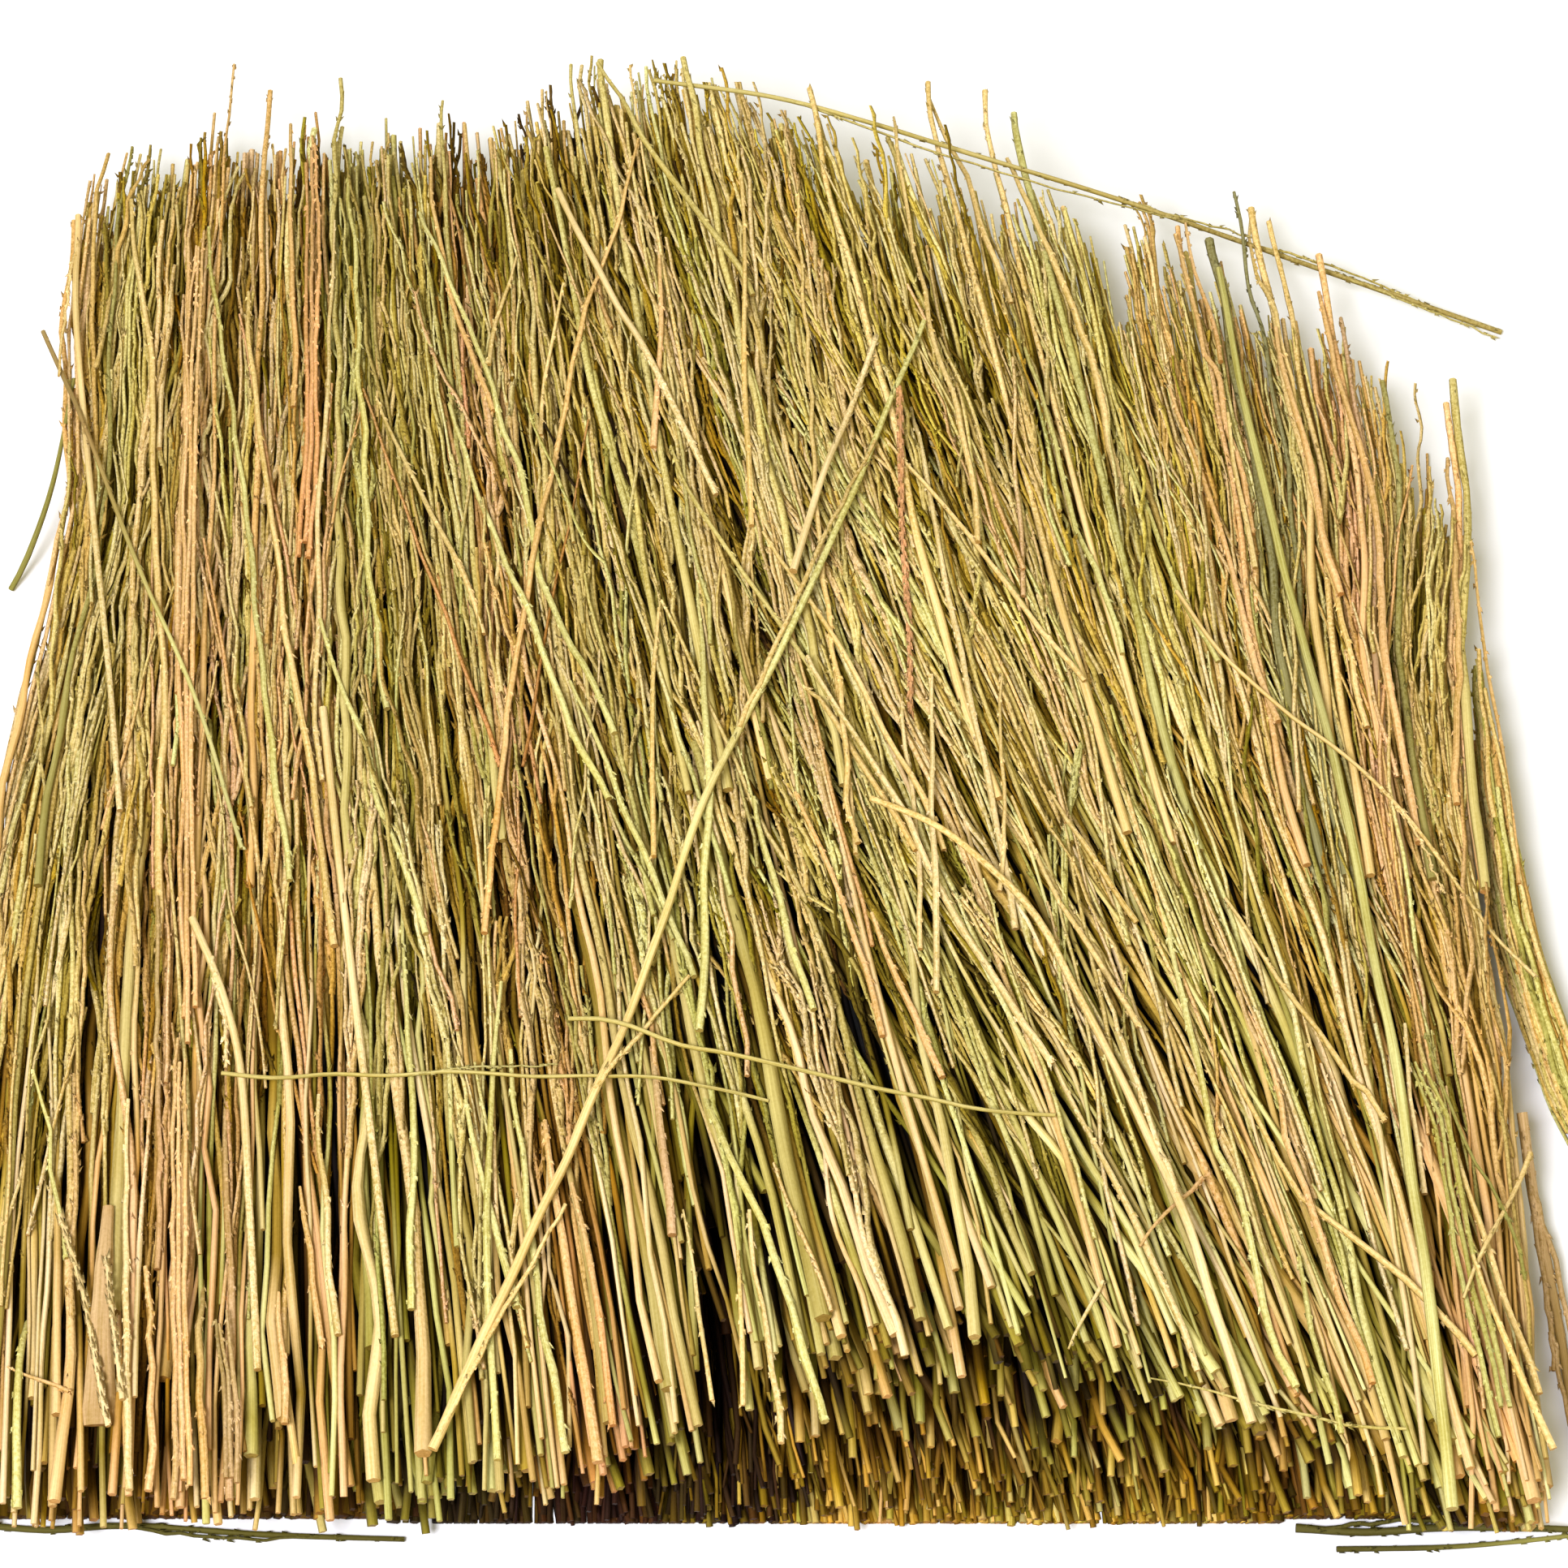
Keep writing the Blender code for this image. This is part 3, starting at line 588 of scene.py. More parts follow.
plainCount = int(pile["stems"] * pile["plainShare"])
plainBatch, plainBegin = addStemGroup(topStems[:plainCount], stalks["plainRings"], stalks["plainSides"])
fineBatch, fineBegin = addStemGroup(topStems[plainCount:], stalks["fineRings"], stalks["fineSides"])

branches = {  # metres and shares; how far they stand off, how they bend, and their thickness
    "perStem": 4, "rings": 21, "sides": 3, "radius": (0.00050, 0.00078), "length": (0.055, 0.13),
    "rootFrom": 0.05, "rootTo": 0.85, "endMost": 1.01, "spread": 0.0018, "wideShare": 0.18,
    "wideSpread": (0.003, 0.010), "bendLength": (0.011, 0.030), "wave": (0.0001, 0.0004), "zigzag": 0.0009,
    "zigzagPace": 0.8, "clear": 0.8, "spreadPower": 0.8, "shake": 0.0002, "room": 0.003, "taper": 0.35,
    "uneven": 0.13, "tint": (0.85, 1.18),
}


def addBranches(parent, begin):
    rings = branches["rings"]
    perStem = branches["perStem"]
    count = len(parent["radius"])
    each = (count, perStem, 1)
    whole = parent["length"][:, None]
    root = begin - branches["rootFrom"] + (branches["rootTo"] - begin) * rng.random((count, perStem))
    length = rng.uniform(*branches["length"], (count, perStem))
    length = np.minimum(length, (branches["endMost"] - root) * whole)
    reach = np.linspace(0, 1, rings)
    share = root[..., None] + (length / whole)[..., None] * reach
    flat = share.reshape(count, -1)
    spine = sampleAt(parent["centre"], flat).reshape(count, perStem, rings, 3)
    over = np.maximum(share - 1, 0) * whole[..., None]
    way = unit(parent["centre"][:, -1] - parent["centre"][:, -3])
    spine = spine + over[..., None] * way[:, None, None, :]
    thick = sampleAt(parent["radius"], flat).reshape(count, perStem, rings)
    side, rise = frameOf(unit(np.gradient(spine, axis=2)))
    turn = rng.choice([-1, 1], each)
    spread = np.abs(rng.normal(branches["spread"], branches["spread"], each))
    wide = rng.random(each) < branches["wideShare"]
    spread = np.where(wide, spread + rng.uniform(*branches["wideSpread"], each), spread)
    bends = length[..., None] / rng.uniform(*branches["bendLength"], each)
    high = rng.uniform(*branches["wave"], each)
    wave = high * np.sin(2 * np.pi * reach * bends + rng.uniform(0, 6, each))
    zigzag = np.abs((reach * bends * branches["zigzagPace"] + rng.random(each)) % 1 - 0.5)
    wave = wave + zigzag * rng.uniform(0, branches["zigzag"], each)
    clear = thick * branches["clear"] * np.minimum(reach * 6, 1)
    shift = turn * (clear + spread * reach ** branches["spreadPower"] + wave)
    lift = thick * rng.uniform(0.0, 1.0, each) + branches["shake"] * rng.normal(size=shift.shape)
    centre = spine + side * shift[..., None] + rise * lift[..., None]
    centre[..., 0] = keepIn(centre[..., 0], centre[..., 1], branches["room"])
    size = rng.uniform(*branches["radius"], each) * (1 - branches["taper"] * reach)
    size = size * (1 + branches["uneven"] * rng.normal(size=shift.shape))
    tint = sampleAt(parent["tint"], root) * rng.uniform(*branches["tint"], each)
    flatTint = tint.reshape(-1, 3)
    return addTubes(
        centre.reshape(-1, rings, 3), np.abs(size).reshape(-1, rings), branches["sides"], flatTint, flatTint,
        np.repeat(parent["owner"], perStem), np.ones((count * perStem, rings)), caps=(False, False),
    )


scales = {  # metres, radians and tone; how many on a tube of each kind; how deep they sit, as a share of it
    "size": (0.00036, 0.00060), "length": (0.0010, 0.0020), "open": (0.2, 0.62), "tone": (0.82, 1.25),
    "fine": 28, "plain": 8, "branch": 13, "branchLength": (0.0013, 0.0026), "sunk": 0.75,
}


def addBumps(batch, perTube, begin, rows=False, **own):  # own sizes replace those of scales
    size, length, opened, tone = (own.get(name, scales[name]) for name in ("size", "length", "open", "tone"))
    count = len(batch["radius"])
    share = begin + (1 - begin) * rng.random((count, perTube))
    turn = rng.uniform(0, 2 * np.pi, share.shape)
    if rows:
        share = begin + (1 - begin) * (np.arange(perTube) + 0.6 * rng.random(share.shape)) / perTube
        turn = np.pi * (np.arange(perTube) % 3) / 2 + rng.normal(0, 0.3, share.shape)
    bumps.append({
        "batch": batch, "share": share, "turn": turn, "size": rng.uniform(*size, share.shape),
        "length": rng.uniform(*length, share.shape), "open": rng.uniform(*opened, share.shape),
        "tone": rng.uniform(*tone, share.shape),
    })


branchBatch = addBranches(fineBatch, fineBegin)
addBumps(fineBatch, scales["fine"], fineBegin * 0.5)
addBumps(plainBatch, scales["plain"], plainBegin)
branchBegin = np.full((len(branchBatch["radius"]), 1), 0.05)
addBumps(branchBatch, scales["branch"], branchBegin, length=scales["branchLength"])
print("branches", len(branchBatch["radius"]))

# stems inside the bunch, seen at the cut ends, the tips and from the sides
inner = {  # metres, and heights as shares of the room under the roof; extra: x from, x to, rows, height
    "pitchX": 0.0026, "pitchZ": 0.0024, "sides": 4, "radius": (0.0005, 0.0012), "roof": 0.0045,
    "floorRows": 4, "tallAt": -0.10, "frontAt": -0.18, "tipAt": 0.16,
    "extra": ((-1, -0.075, 3, 0.12), (0.075, 1, 3, 0.12), (-0.02, 0.118, 10, 0.42)),
    "lean": (0.45, 0.75, 1.0), "leanSpread": 0.08, "short": (0.014, 0.014, 0.009), "shortSpread": 0.0075,
    "middleFrom": -0.085, "middleTo": 0.105, "middleEase": 0.02, "uneven": 0.0035, "unevenLeast": 0.35,
    "late": 0.035, "lateFrom": 0.15, "foot": 0.0045, "footMiddle": 0.002, "backShare": 0.68,
    "backFrom": 0.4, "back": (0.006, 0.032), "asideLeft": -0.075, "asideRight": 0.10, "asideTo": 0.2,
    "asideY": -0.1775, "underPlane": 0.004, "holeFrom": 0.45, "holeBack": 0.03, "cornerRoom": 0.002,
    "shares": (0.0, 0.022, 0.05, 0.11, 0.35, 0.7, 1.0), "shakeX": 0.0006, "shakeZ": 0.0005, "stray": 0.05,
    "strayY": -0.10, "taper": 0.6, "thinner": 0.42, "thinTo": 0.45, "droop": 0.0045,
    "droopSpread": (0.2, 1.4), "sunk": np.array([1, 0.6, 0.25, 0, 0, 0, 0]), "flatTo": 0.1, "flat": 0.5,
}
innerLook = {  # golden stems low in the middle, and depth for the painted shade at the shares of the length
    "level": 0.2, "goldFrom": -0.022, "goldEase": 0.012, "goldTo": 0.55, "goldPower": 0.7, "goldMost": 0.95,
    "lightTo": 0.5, "light": (1.5, 1.1), "goldTone": (0.9, 1.9),
    "deep": np.array([0.0009, 0.0030, 0.0062, 0.014, 0.02, 0.006, 0.0010]), "deepBack": 0.25,
    "deepLow": 0.0010, "deepHole": 0.0045, "deepSpread": (0.1, 2.2), "deepMiddle": 0.0022,
    "deepFloor": 0.003, "floorTo": 0.3, "sideShare": 0.8,
}


def innerRows():  # place on the butt line and height of each inner stem
    rows = []

    def near(column):
        return column + rng.uniform(-0.5, 0.5) * inner["pitchX"]

    for column in np.arange(shape["leftX"] + 0.0012, shape["rightX"] - 0.001, inner["pitchX"]):
        tall = float(backHeight(column, inner["tallAt"])) - inner["roof"]
        levels = max(int(tall / inner["pitchZ"]), 3)
        for level in [0] * inner["floorRows"] + list(range(levels)):
            height = (level + rng.uniform(0.2, 0.8)) / levels
            rows.append((near(column), height))
        for low, high, count, top in inner["extra"]:
            if low < column < high:
                rows += [(near(column), rng.uniform(0.0, top)) for index in range(count)]
    return np.array(rows)


def innerFront(buttX, height, layer, middle):  # where the inner stems begin, and how far each is set back
    count = len(buttX)
    front = np.choose(layer, [shape["baseButt"], shape["middleButt"], buttLine(buttX)])
    uneven = rng.normal(0, inner["uneven"], count) * np.clip(height * 3, inner["unevenLeast"], 1)
    uneven = uneven + inner["late"] * rng.random(count) ** 4 * (height > inner["lateFrom"])
    foot = (inner["foot"] + inner["footMiddle"] * middle) * np.maximum(1 - height / layers[0][3], 0)
    front = front + uneven - foot
    setBack = (rng.random(count) < inner["backShare"]) * (height > inner["backFrom"])
    back = setBack * rng.uniform(*inner["back"], count)
    front = front + back
    aside = (buttX < inner["asideLeft"]) | (buttX > inner["asideRight"])
    front = np.where(aside & (height < inner["asideTo"]), np.maximum(front, inner["asideY"]), front)
    above = height * (backHeight(buttX, inner["frontAt"]) - inner["roof"]) - inner["underPlane"]
    return np.maximum(front, frontPlane(np.maximum(above, 0))), back


def innerEnd(tipX, layer):
    end = tipLine(tipX) - np.array(inner["short"])[layer] + rng.normal(0, inner["shortSpread"], len(tipX))
    for placeX, placeY, half in notches:
        end = np.where(np.abs(tipX * 1000 - placeX) < half, np.minimum(end, placeY / 1000), end)
    return np.where(tipX > corner[0][0], np.minimum(end, np.interp(tipX, *corner) - inner["cornerRoom"]), end)


def addInner():
    buttX, height = innerRows().T
    count = len(buttX)
    each = (count, 1)
    layer = np.searchsorted([layers[0][3], layers[1][3]], height, side="right")
    leanShare = np.array(inner["lean"])[layer] + inner["leanSpread"] * rng.normal(size=count)
    middle = np.clip((buttX - inner["middleFrom"]) / inner["middleEase"], 0, 1)
    middle = middle * np.clip((inner["middleTo"] - buttX) / inner["middleEase"], 0, 1)
    front, back = innerFront(buttX, height, layer, middle)
    hole = np.abs(buttX - shape["gapX"]) < shape["gapHalf"]
    front = np.where(hole & (height > inner["holeFrom"]), front + inner["holeBack"], front)
    end = innerEnd(stemX(buttX, np.full(count, inner["tipAt"]), leanShare), layer)
    share = np.array(inner["shares"])
    y = front[:, None] + (end - front)[:, None] * share
    x = stemX(buttX[:, None], y, leanShare[:, None]) + inner["shakeX"] * rng.normal(size=y.shape)
    x = x + rng.normal(0, inner["stray"], each) * (y - inner["strayY"])
    x = keepIn(x, y, 0.0)
    radius = rng.uniform(*inner["radius"], each) * (1 - inner["taper"] * share ** 2)
    radius = radius * (1 - inner["thinner"] * (middle * (height < inner["thinTo"])))[:, None]
    top = backHeight(x, y) - inner["roof"]
    droop = inner["droop"] * rng.uniform(*inner["droopSpread"], each) * inner["sunk"]
    z = np.maximum(height[:, None] * top + inner["shakeZ"] * rng.normal(size=y.shape) - droop, radius)
    butt, tip = pickColours(buttX, buttX, innerLook["level"])
    goldSide = np.clip((buttX - innerLook["goldFrom"]) / innerLook["goldEase"], 0, 1)
    golden = middle * goldSide * (height < innerLook["goldTo"]) * rng.random(count) ** innerLook["goldPower"]
    golden = golden[:, None] * innerLook["goldMost"]
    light = (height < innerLook["lightTo"]) & (goldSide > 0.5)
    butt = butt * np.where(light, *innerLook["light"])[:, None]
    butt = butt * (1 - golden) + palette["golden"] * golden * rng.uniform(*innerLook["goldTone"], each)
    # painted shade: stems set back, in the hole, low down and in the middle are darker, less so near the
    # sides
    deeper = back * innerLook["deepBack"] + innerLook["deepLow"] * (height < inner["backFrom"])
    deeper = deeper + innerLook["deepHole"] * hole
    middleShade = innerLook["deepMiddle"] * middle * (1 - goldSide) * (height < innerLook["lightTo"])
    lowest = innerLook["deepFloor"] * (height < innerLook["floorTo"]) * (1 - middle * goldSide)
    depth = innerLook["deep"] + inner["sunk"] * deeper[:, None]
    depth = depth * rng.uniform(*innerLook["deepSpread"], each) + middleShade[:, None]
    depth = depth + lowest[:, None] * inner["sunk"]
    inside = np.maximum(fromSides(x, y) - shading["sideRoom"], 0)
    depth = np.minimum(depth, inside * innerLook["sideShare"])
    owner = np.choose(layer, [ownerAt(number, buttX) for number in range(3)])
    flat = 1 + inner["flat"] * (height < inner["flatTo"])[:, None] + 0 * radius
    woolly = np.broadcast_to(share > 0.5, radius.shape) * 1.0
    addTubes(np.stack([x, y, z], 2), radius, inner["sides"], butt, tip, owner, woolly, flat, depth=depth)
    print("inner stems", count)


addInner()


tallTips = (  # thin stems whose tips stand out past the rest: x mm, y mm, radius mm at the tip, colour
    (-173, 158, 0.6, "tan"), (-161, 181, 0.45, "moss"), (-137, 207, 0.35, "tan"), (-127, 196, 0.7, "tan"),
    (-109.5, 196, 0.5, "olive"), (-83, 177, 0.4, "olive"), (-51, 180, 0.5, "olive"),
    (-44, 177, 0.8, "olive"), (-37, 176, 0.35, "straw"), (-23.5, 174, 0.7, "olive"),
    (5.5, 171, 0.6, "straw"), (35, 182, 0.6, "straw"), (49, 184, 0.8, "straw"), (56, 179, 0.8, "green"),
    (95, 151, 0.6, "peach"), (102.5, 148, 1.1, "slate"), (110, 165, 0.45, "slate"),
    (114, 160, 0.9, "straw"), (118.6, 156, 0.6, "straw"), (129.5, 146, 0.9, "peach"),
    (133, 125, 0.6, "mauve"), (141, 103, 0.6, "moss"), (156.5, 100, 0.8, "peach"),
    (158.6, 107.5, 0.9, "olive"),
)
tallLook = {
    "from": -0.04, "waver": 0.0003, "waves": (0.09, 0.04), "laid": 0.0007, "reach": 8, "soft": 0.5,
    "sunk": 0.002, "riseOver": 0.03, "rise": 0.05, "butt": 0.0009, "rings": 34, "sides": 6,
    "tint": (0.92, 1.08), "bumps": 40,
}


def addTallTips():
    places = np.linspace(shape["leftX"], shape["rightX"], 300)
    for tipX, tipY, tipRadius, colourName in tallTips:
        endX, endY = tipX / 1000, tipY / 1000
        reached = stemX(places, np.full(300, min(endY, shape["tipY"])))
        buttX = places[np.abs(reached - endX).argmin()]
        y = np.append(np.arange(tallLook["from"], endY, grid["cellY"]), endY)
        x = stemX(np.full_like(y, buttX), y)
        share = np.clip((y - tallLook["from"]) / (endY - tallLook["from"]), 0, 1)
        x = x + (endX - x[-1]) * share + wander(y, tallLook["waver"], tallLook["waves"])
        z = layOn(x, y, tallLook["laid"], tallLook["reach"], tallLook["soft"])
        out = np.clip(y - (endY - tallLook["riseOver"]), 0, 1)
        z = np.maximum(z, backHeight(x, y) - tallLook["sunk"]) + out * tallLook["rise"]
        stem = {"x": x, "y": y, "z": z, "butt": tallLook["butt"], "tip": tipRadius / 1000, "level": 1.0}
        stem.update(cutX=buttX, tipX=buttX)
        batch, begin = addStemGroup([stem], tallLook["rings"], tallLook["sides"])
        batch["tint"] = 0 * batch["tint"] + palette[colourName] * rng.uniform(*tallLook["tint"])
        addBumps(batch, tallLook["bumps"], begin)


addTallTips()
print("tall tips", len(tallTips))

# small broken twigs lying over the stems
wisps = {
    "count": 130, "rings": 12, "sides": 4, "length": (0.03, 0.12), "radius": (0.00032, 0.00055),
    "taper": (1.15, 0.7), "from": -0.17, "to": 0.15, "side": 0.01, "tilt": 0.11, "waver": 0.0004,
    "waves": (0.06, 0.03), "reach": 5, "soft": 0.6, "gain": 1.12, "bumps": 16,
}


def addWisps():
    paths, radii, places = [], [], []
    for index in range(wisps["count"]):
        length = rng.uniform(*wisps["length"])
        begin = rng.uniform(wisps["from"], wisps["to"] - length)
        buttX = rng.uniform(shape["leftX"] + wisps["side"], shape["rightX"] - wisps["side"])
        y = np.append(np.arange(begin, begin + length, grid["cellY"]), begin + length)
        tilt = rng.normal(0, wisps["tilt"])
        x = stemX(np.full_like(y, buttX), y) - tilt * (y - begin) + wander(y, wisps["waver"], wisps["waves"])
        x = keepIn(x, y)
        radius = rng.uniform(*wisps["radius"])
        z = layOn(x, y, radius, wisps["reach"], wisps["soft"])
        paths.append(resample(x, y, z, wisps["rings"]))
        radii.append(radius)
        places.append(buttX)
    centre, places = np.array(paths), np.array(places)
    radius = np.array(radii)[:, None] * np.linspace(*wisps["taper"], wisps["rings"])
    butt, tip = pickColours(places, places)
    owner = topOwner(centre[:, wisps["rings"] // 2])
    batch = addTubes(centre, radius, wisps["sides"], butt * wisps["gain"], tip * wisps["gain"], owner,
                     np.ones(radius.shape))
    addBumps(batch, wisps["bumps"], np.zeros((len(paths), 1)))


addWisps()
print("wisps", wisps["count"])

accents = (  # single stems that catch the eye: colour, radius mm, then x and y of their points in mm
    ("pale", 1.0, -138, -94, -134, -140, -129, -185),
    ("peach", 1.6, -127, -80, -123, -140, -119, -187),
    ("mauve", 1.05, -118, -80, -113, -140, -109, -186),
    ("pale", 0.9, -98, -94, -94, -123, -90, -152),
    ("sage", 1.1, -17, -109, -14, -121, -4, -144, 4, -174, 8, -187),
    ("sage", 1.0, -57, -92, -53, -120, -48, -156, -42, -184),
    ("peach", 1.25, -49, -109, -46, -130, -39, -169, -36, -188),
    ("straw", 0.6, -20, -138, -17, -156, -14, -178),
    ("straw", 0.7, -9, -150, -8, -182),
    ("pale", 0.8, -7, -142, -4, -165, 0, -190),
    ("mauve", 1.1, -27, -98, -25, -116, -22, -144),
    ("pale", 0.9, 29, 72, 30, 62, 34, 28, 37, 6, 40, -15, 45, -50, 48, -73),
    ("pale", 0.7, 25, -15, 25, -24, 28, -58, 28, -83),
    ("straw", 0.6, 7, 33, 9, 9, 12, -21, 15, -60),
    ("straw", 0.8, 22, 57, 34, 40, 48, 24, 57, 8, 66, -3),
    ("straw", 0.8, 4, -15, 8, -20, 18, -40, 28, -58),
    ("straw", 0.6, 47, -5, 46, -41, 45, -65),
    ("olive", 0.7, -26, 55, -19, 35, 6, -12, 23, -46),
    ("pale", 0.9, 54, -104, 62, -124, 70, -143, 81, -172),
    ("straw", 1.0, 90, -92, 105, -124, 126, -141, 139, -157),
    ("straw", 0.9, 133, -84, 139, -113, 146, -141, 152, -163),
    ("green", 1.45, 132, -82, 136, -103, 138, -134, 143, -175),
    ("pale", 0.8, -147, 137, -147, 117, -146, 83),
    ("peach", 0.5, -158, -156, -142, -162),
    ("peach", 0.6, 69, -147, 85, -126),
    ("straw", 0.7, 136, -146, 156, -107),
    ("olive", 0.4, 70, -172, 97, -175, 124, -175),
    ("pale", 0.5, 54, -171, 63, -157),
    ("straw", 1.05, -159, 160, -156, 140, -152, 123, -149, 106, -147, 80, -143, 44, -138, 10, -137, -23,
     -134, -55),
    ("peach", 1, -144, 148, -142, 125, -141, 106, -139, 83, -139, 63, -138, 44, -135, 10),
    ("peach", 1.45, -141, 150, -140, 124, -139, 102, -137, 73, -135, 38, -133, 9, -131, -18, -128, -55,
     -126, -82),
    ("sage", 0.85, -139, 147, -135, 124, -132, 107, -129, 91, -123, 60, -120, 37, -116, 13, -112, -14,
     -106, -42),
    ("straw", 1.05, -128, 129, -127, 116, -125, 104, -120, 72, -115, 47, -112, 24, -108, 7, -103, -16,
     -100, -37, -96, -58),
    ("orange", 1.5, -115, 173, -113, 145, -112, 127, -111, 107, -109, 79, -109, 59, -109, 41),
    ("pale", 0.75, -108, 146, -107, 126, -107, 112, -106, 94, -106, 75, -106, 52, -104, 28, -104, 1,
     -101, -16),
    ("sage", 0.95, -106, 169, -104, 149, -101, 123, -100, 105, -97, 82, -95, 49, -92, 31, -88, 3),
    ("tan", 0.85, -121, 182, -119, 153, -117, 128, -115, 108, -114, 90),
    ("tan", 0.8, -85, 159, -84, 147, -80, 123, -76, 105, -71, 92, -66, 76),
    ("sage", 0.95, -87, 141, -81, 124, -75, 107, -68, 88, -64, 70, -59, 56, -56, 38, -54, 26, -47, 7,
     -40, -11, -36, -22),
    ("tan", 0.85, -34, 148, -38, 127, -41, 116, -45, 101, -47, 88, -49, 77, -51, 61, -55, 38, -57, 16,
     -60, -5, -61, -25, -62, -45, -63, -65),
    ("straw", 0.65, -62, 122, -65, 111, -68, 100, -68, 88),
    ("straw", 0.65, -51, 108, -53, 93, -55, 81, -55, 67),
    ("sage", 0.9, -104, 24, -98, 7, -91, -11, -89, -23, -81, -42, -76, -60),
    ("straw", 0.8, -95, 90, -87, 70, -80, 51, -71, 32, -66, 15),
    ("sage", 0.95, -77, 81, -69, 53, -60, 26, -54, 9, -45, -20, -37, -37),
    ("olive", 0.9, -45, 175, -38, 160, -32, 146, -24, 132, -16, 117, -7, 99),
    ("straw", 0.8, -10, 138, -9, 114, -9, 89, -9, 70, -8, 52, -7, 29),
    ("straw", 0.75, 3, 131, 4, 108, 5, 90, 6, 68, 7, 35, 9, 7, 11, -12, 13, -30, 13, -45, 15, -58),
    ("straw", 0.85, 26, 169, 27, 155, 29, 133, 32, 109, 33, 96, 36, 80, 39, 70, 41, 55, 42, 45, 43, 30),
    ("straw", 0.9, 35, 180, 39, 168, 44, 154, 46, 137, 50, 124, 54, 114),
    ("sage", 0.85, 56, 98, 58, 86, 60, 74, 63, 61, 66, 44, 69, 32, 72, 19, 75, 8),
    ("straw", 1.1, 54, 166, 58, 146, 62, 131, 67, 115, 72, 99, 75, 72, 78, 57),
    ("peach", 0.85, -29, 110, -28, 91, -28, 76, -29, 55),
    ("straw", 0.85, -5, 26, 4, 9, 11, -4, 16, -16, 22, -29, 28, -42, 34, -56),
    ("pale", 0.95, 5, -10, 8, -18, 14, -30, 19, -40, 25, -50, 29, -61, 34, -71, 39, -80, 44, -90, 49, -101,
     54, -108),
    ("pale", 0.85, 32, -9, 31, -26, 31, -43, 31, -59, 31, -75, 31, -93),
    ("straw", 0.85, 56, -36, 60, -45, 65, -52, 70, -60, 74, -65),
    ("straw", 0.75, 47, -41, 53, -55, 58, -66, 64, -76, 69, -86, 73, -93),
    ("sage", 1.05, -19, 18, -18, 1, -17, -16, -16, -32, -15, -47, -17, -62, -16, -77, -17, -99),
    ("sage", 0.85, -47, -5, -42, -16, -37, -30, -33, -44, -28, -57, -23, -73, -18, -86),
    ("straw", 0.75, -27, 7, -28, -13, -28, -34, -27, -56),
    ("sage", 0.95, -7, -44, -4, -56, -1, -70, 2, -83, 6, -98),
    ("peach", 0.85, 2, -45, 6, -55, 11, -69, 14, -81, 17, -91, 20, -106),
    ("peach", 1, 17, -76, 22, -89, 27, -101, 32, -114),
    ("peach", 0.95, 94, 147, 96, 132, 99, 106, 102, 100, 102, 86, 105, 72, 107, 52),
    ("peach", 0.75, 97, 152, 99, 132, 102, 117, 102, 103),
    ("straw", 0.9, 114, 161, 113, 141, 116, 128, 118, 109, 120, 89, 121, 74, 122, 60, 124, 44, 126, 30,
     127, 15, 129, 0),
    ("peach", 1.15, 129, 136, 129, 126, 130, 104, 133, 89, 135, 73, 136, 55, 135, 37, 134, 19, 135, 2,
     137, -14, 138, -31),
    ("peach", 1.15, 116, 115, 117, 100, 120, 84, 122, 69, 123, 48, 126, 36),
    ("peach", 0.95, 90, 95, 95, 77, 98, 61, 100, 49, 103, 33, 105, 16, 109, -1),
    ("straw", 0.8, 103, 86, 103, 72, 105, 55, 107, 42),
    ("sage", 0.8, 77, 75, 82, 58, 86, 41, 92, 24, 97, 13),
    ("tan", 1, 156, 86, 155, 68, 154, 50, 152, 26, 150, 3, 147, -19),
    ("tan", 0.65, 158, 56, 159, 44, 160, 15, 161, -7, 161, -35),
    ("sage", 1.05, 80, -42, 81, -58, 82, -73, 84, -88, 86, -103, 88, -117, 92, -126, 94, -140, 95, -152,
     98, -163, 101, -170),
    ("peach", 1.05, 95, -75, 99, -86, 102, -99, 103, -113, 106, -123, 109, -133, 111, -144, 114, -155,
     117, -166),
    ("straw", 0.75, 93, -51, 97, -57, 101, -66, 105, -74, 110, -81, 115, -87, 118, -94, 121, -97,
     125, -105),
    ("pale", 0.8, 131, -79, 130, -94, 132, -110, 132, -118),
    ("slate", 0.5, 134, -83, 137, -97, 141, -109, 145, -115, 149, -128, 151, -137),
    ("straw", 1, 139, -137, 142, -149, 146, -160, 150, -169, 153, -176),
    ("sage", 0.9, 104, -138, 104, -147, 106, -161, 108, -169, 110, -177),
    ("mauve", 0.8, -135, -45, -133, -76, -130, -106, -128, -134),
    ("sage", 0.95, -82, -51, -79, -81, -76, -111, -76, -129, -75, -148),
    ("sage", 1, -66, -103, -61, -123, -57, -138, -53, -152),
    ("sage", 0.95, -59, -76, -60, -95, -60, -114, -60, -132, -59, -151, -56, -183),
    ("orange", 0.95, -43, -127, -39, -142, -36, -160, -33, -181),
    ("sage", 0.65, -158, -87, -154, -101, -150, -120, -146, -132),
    ("sage", 1.15, -155, -143, -154, -162, -152, -186),
    ("taupe", 1.4, -114, -140, -111, -163, -109, -185),
    ("peach", 0.95, -130, -134, -128, -153, -125, -184),
    ("tan", 1.05, -119, -135, -117, -162, -114, -186),
    ("peach", 0.9, -100, -117, -96, -136, -93, -154),
    ("peach", 0.95, -103, -141, -101, -154, -99, -171),
)


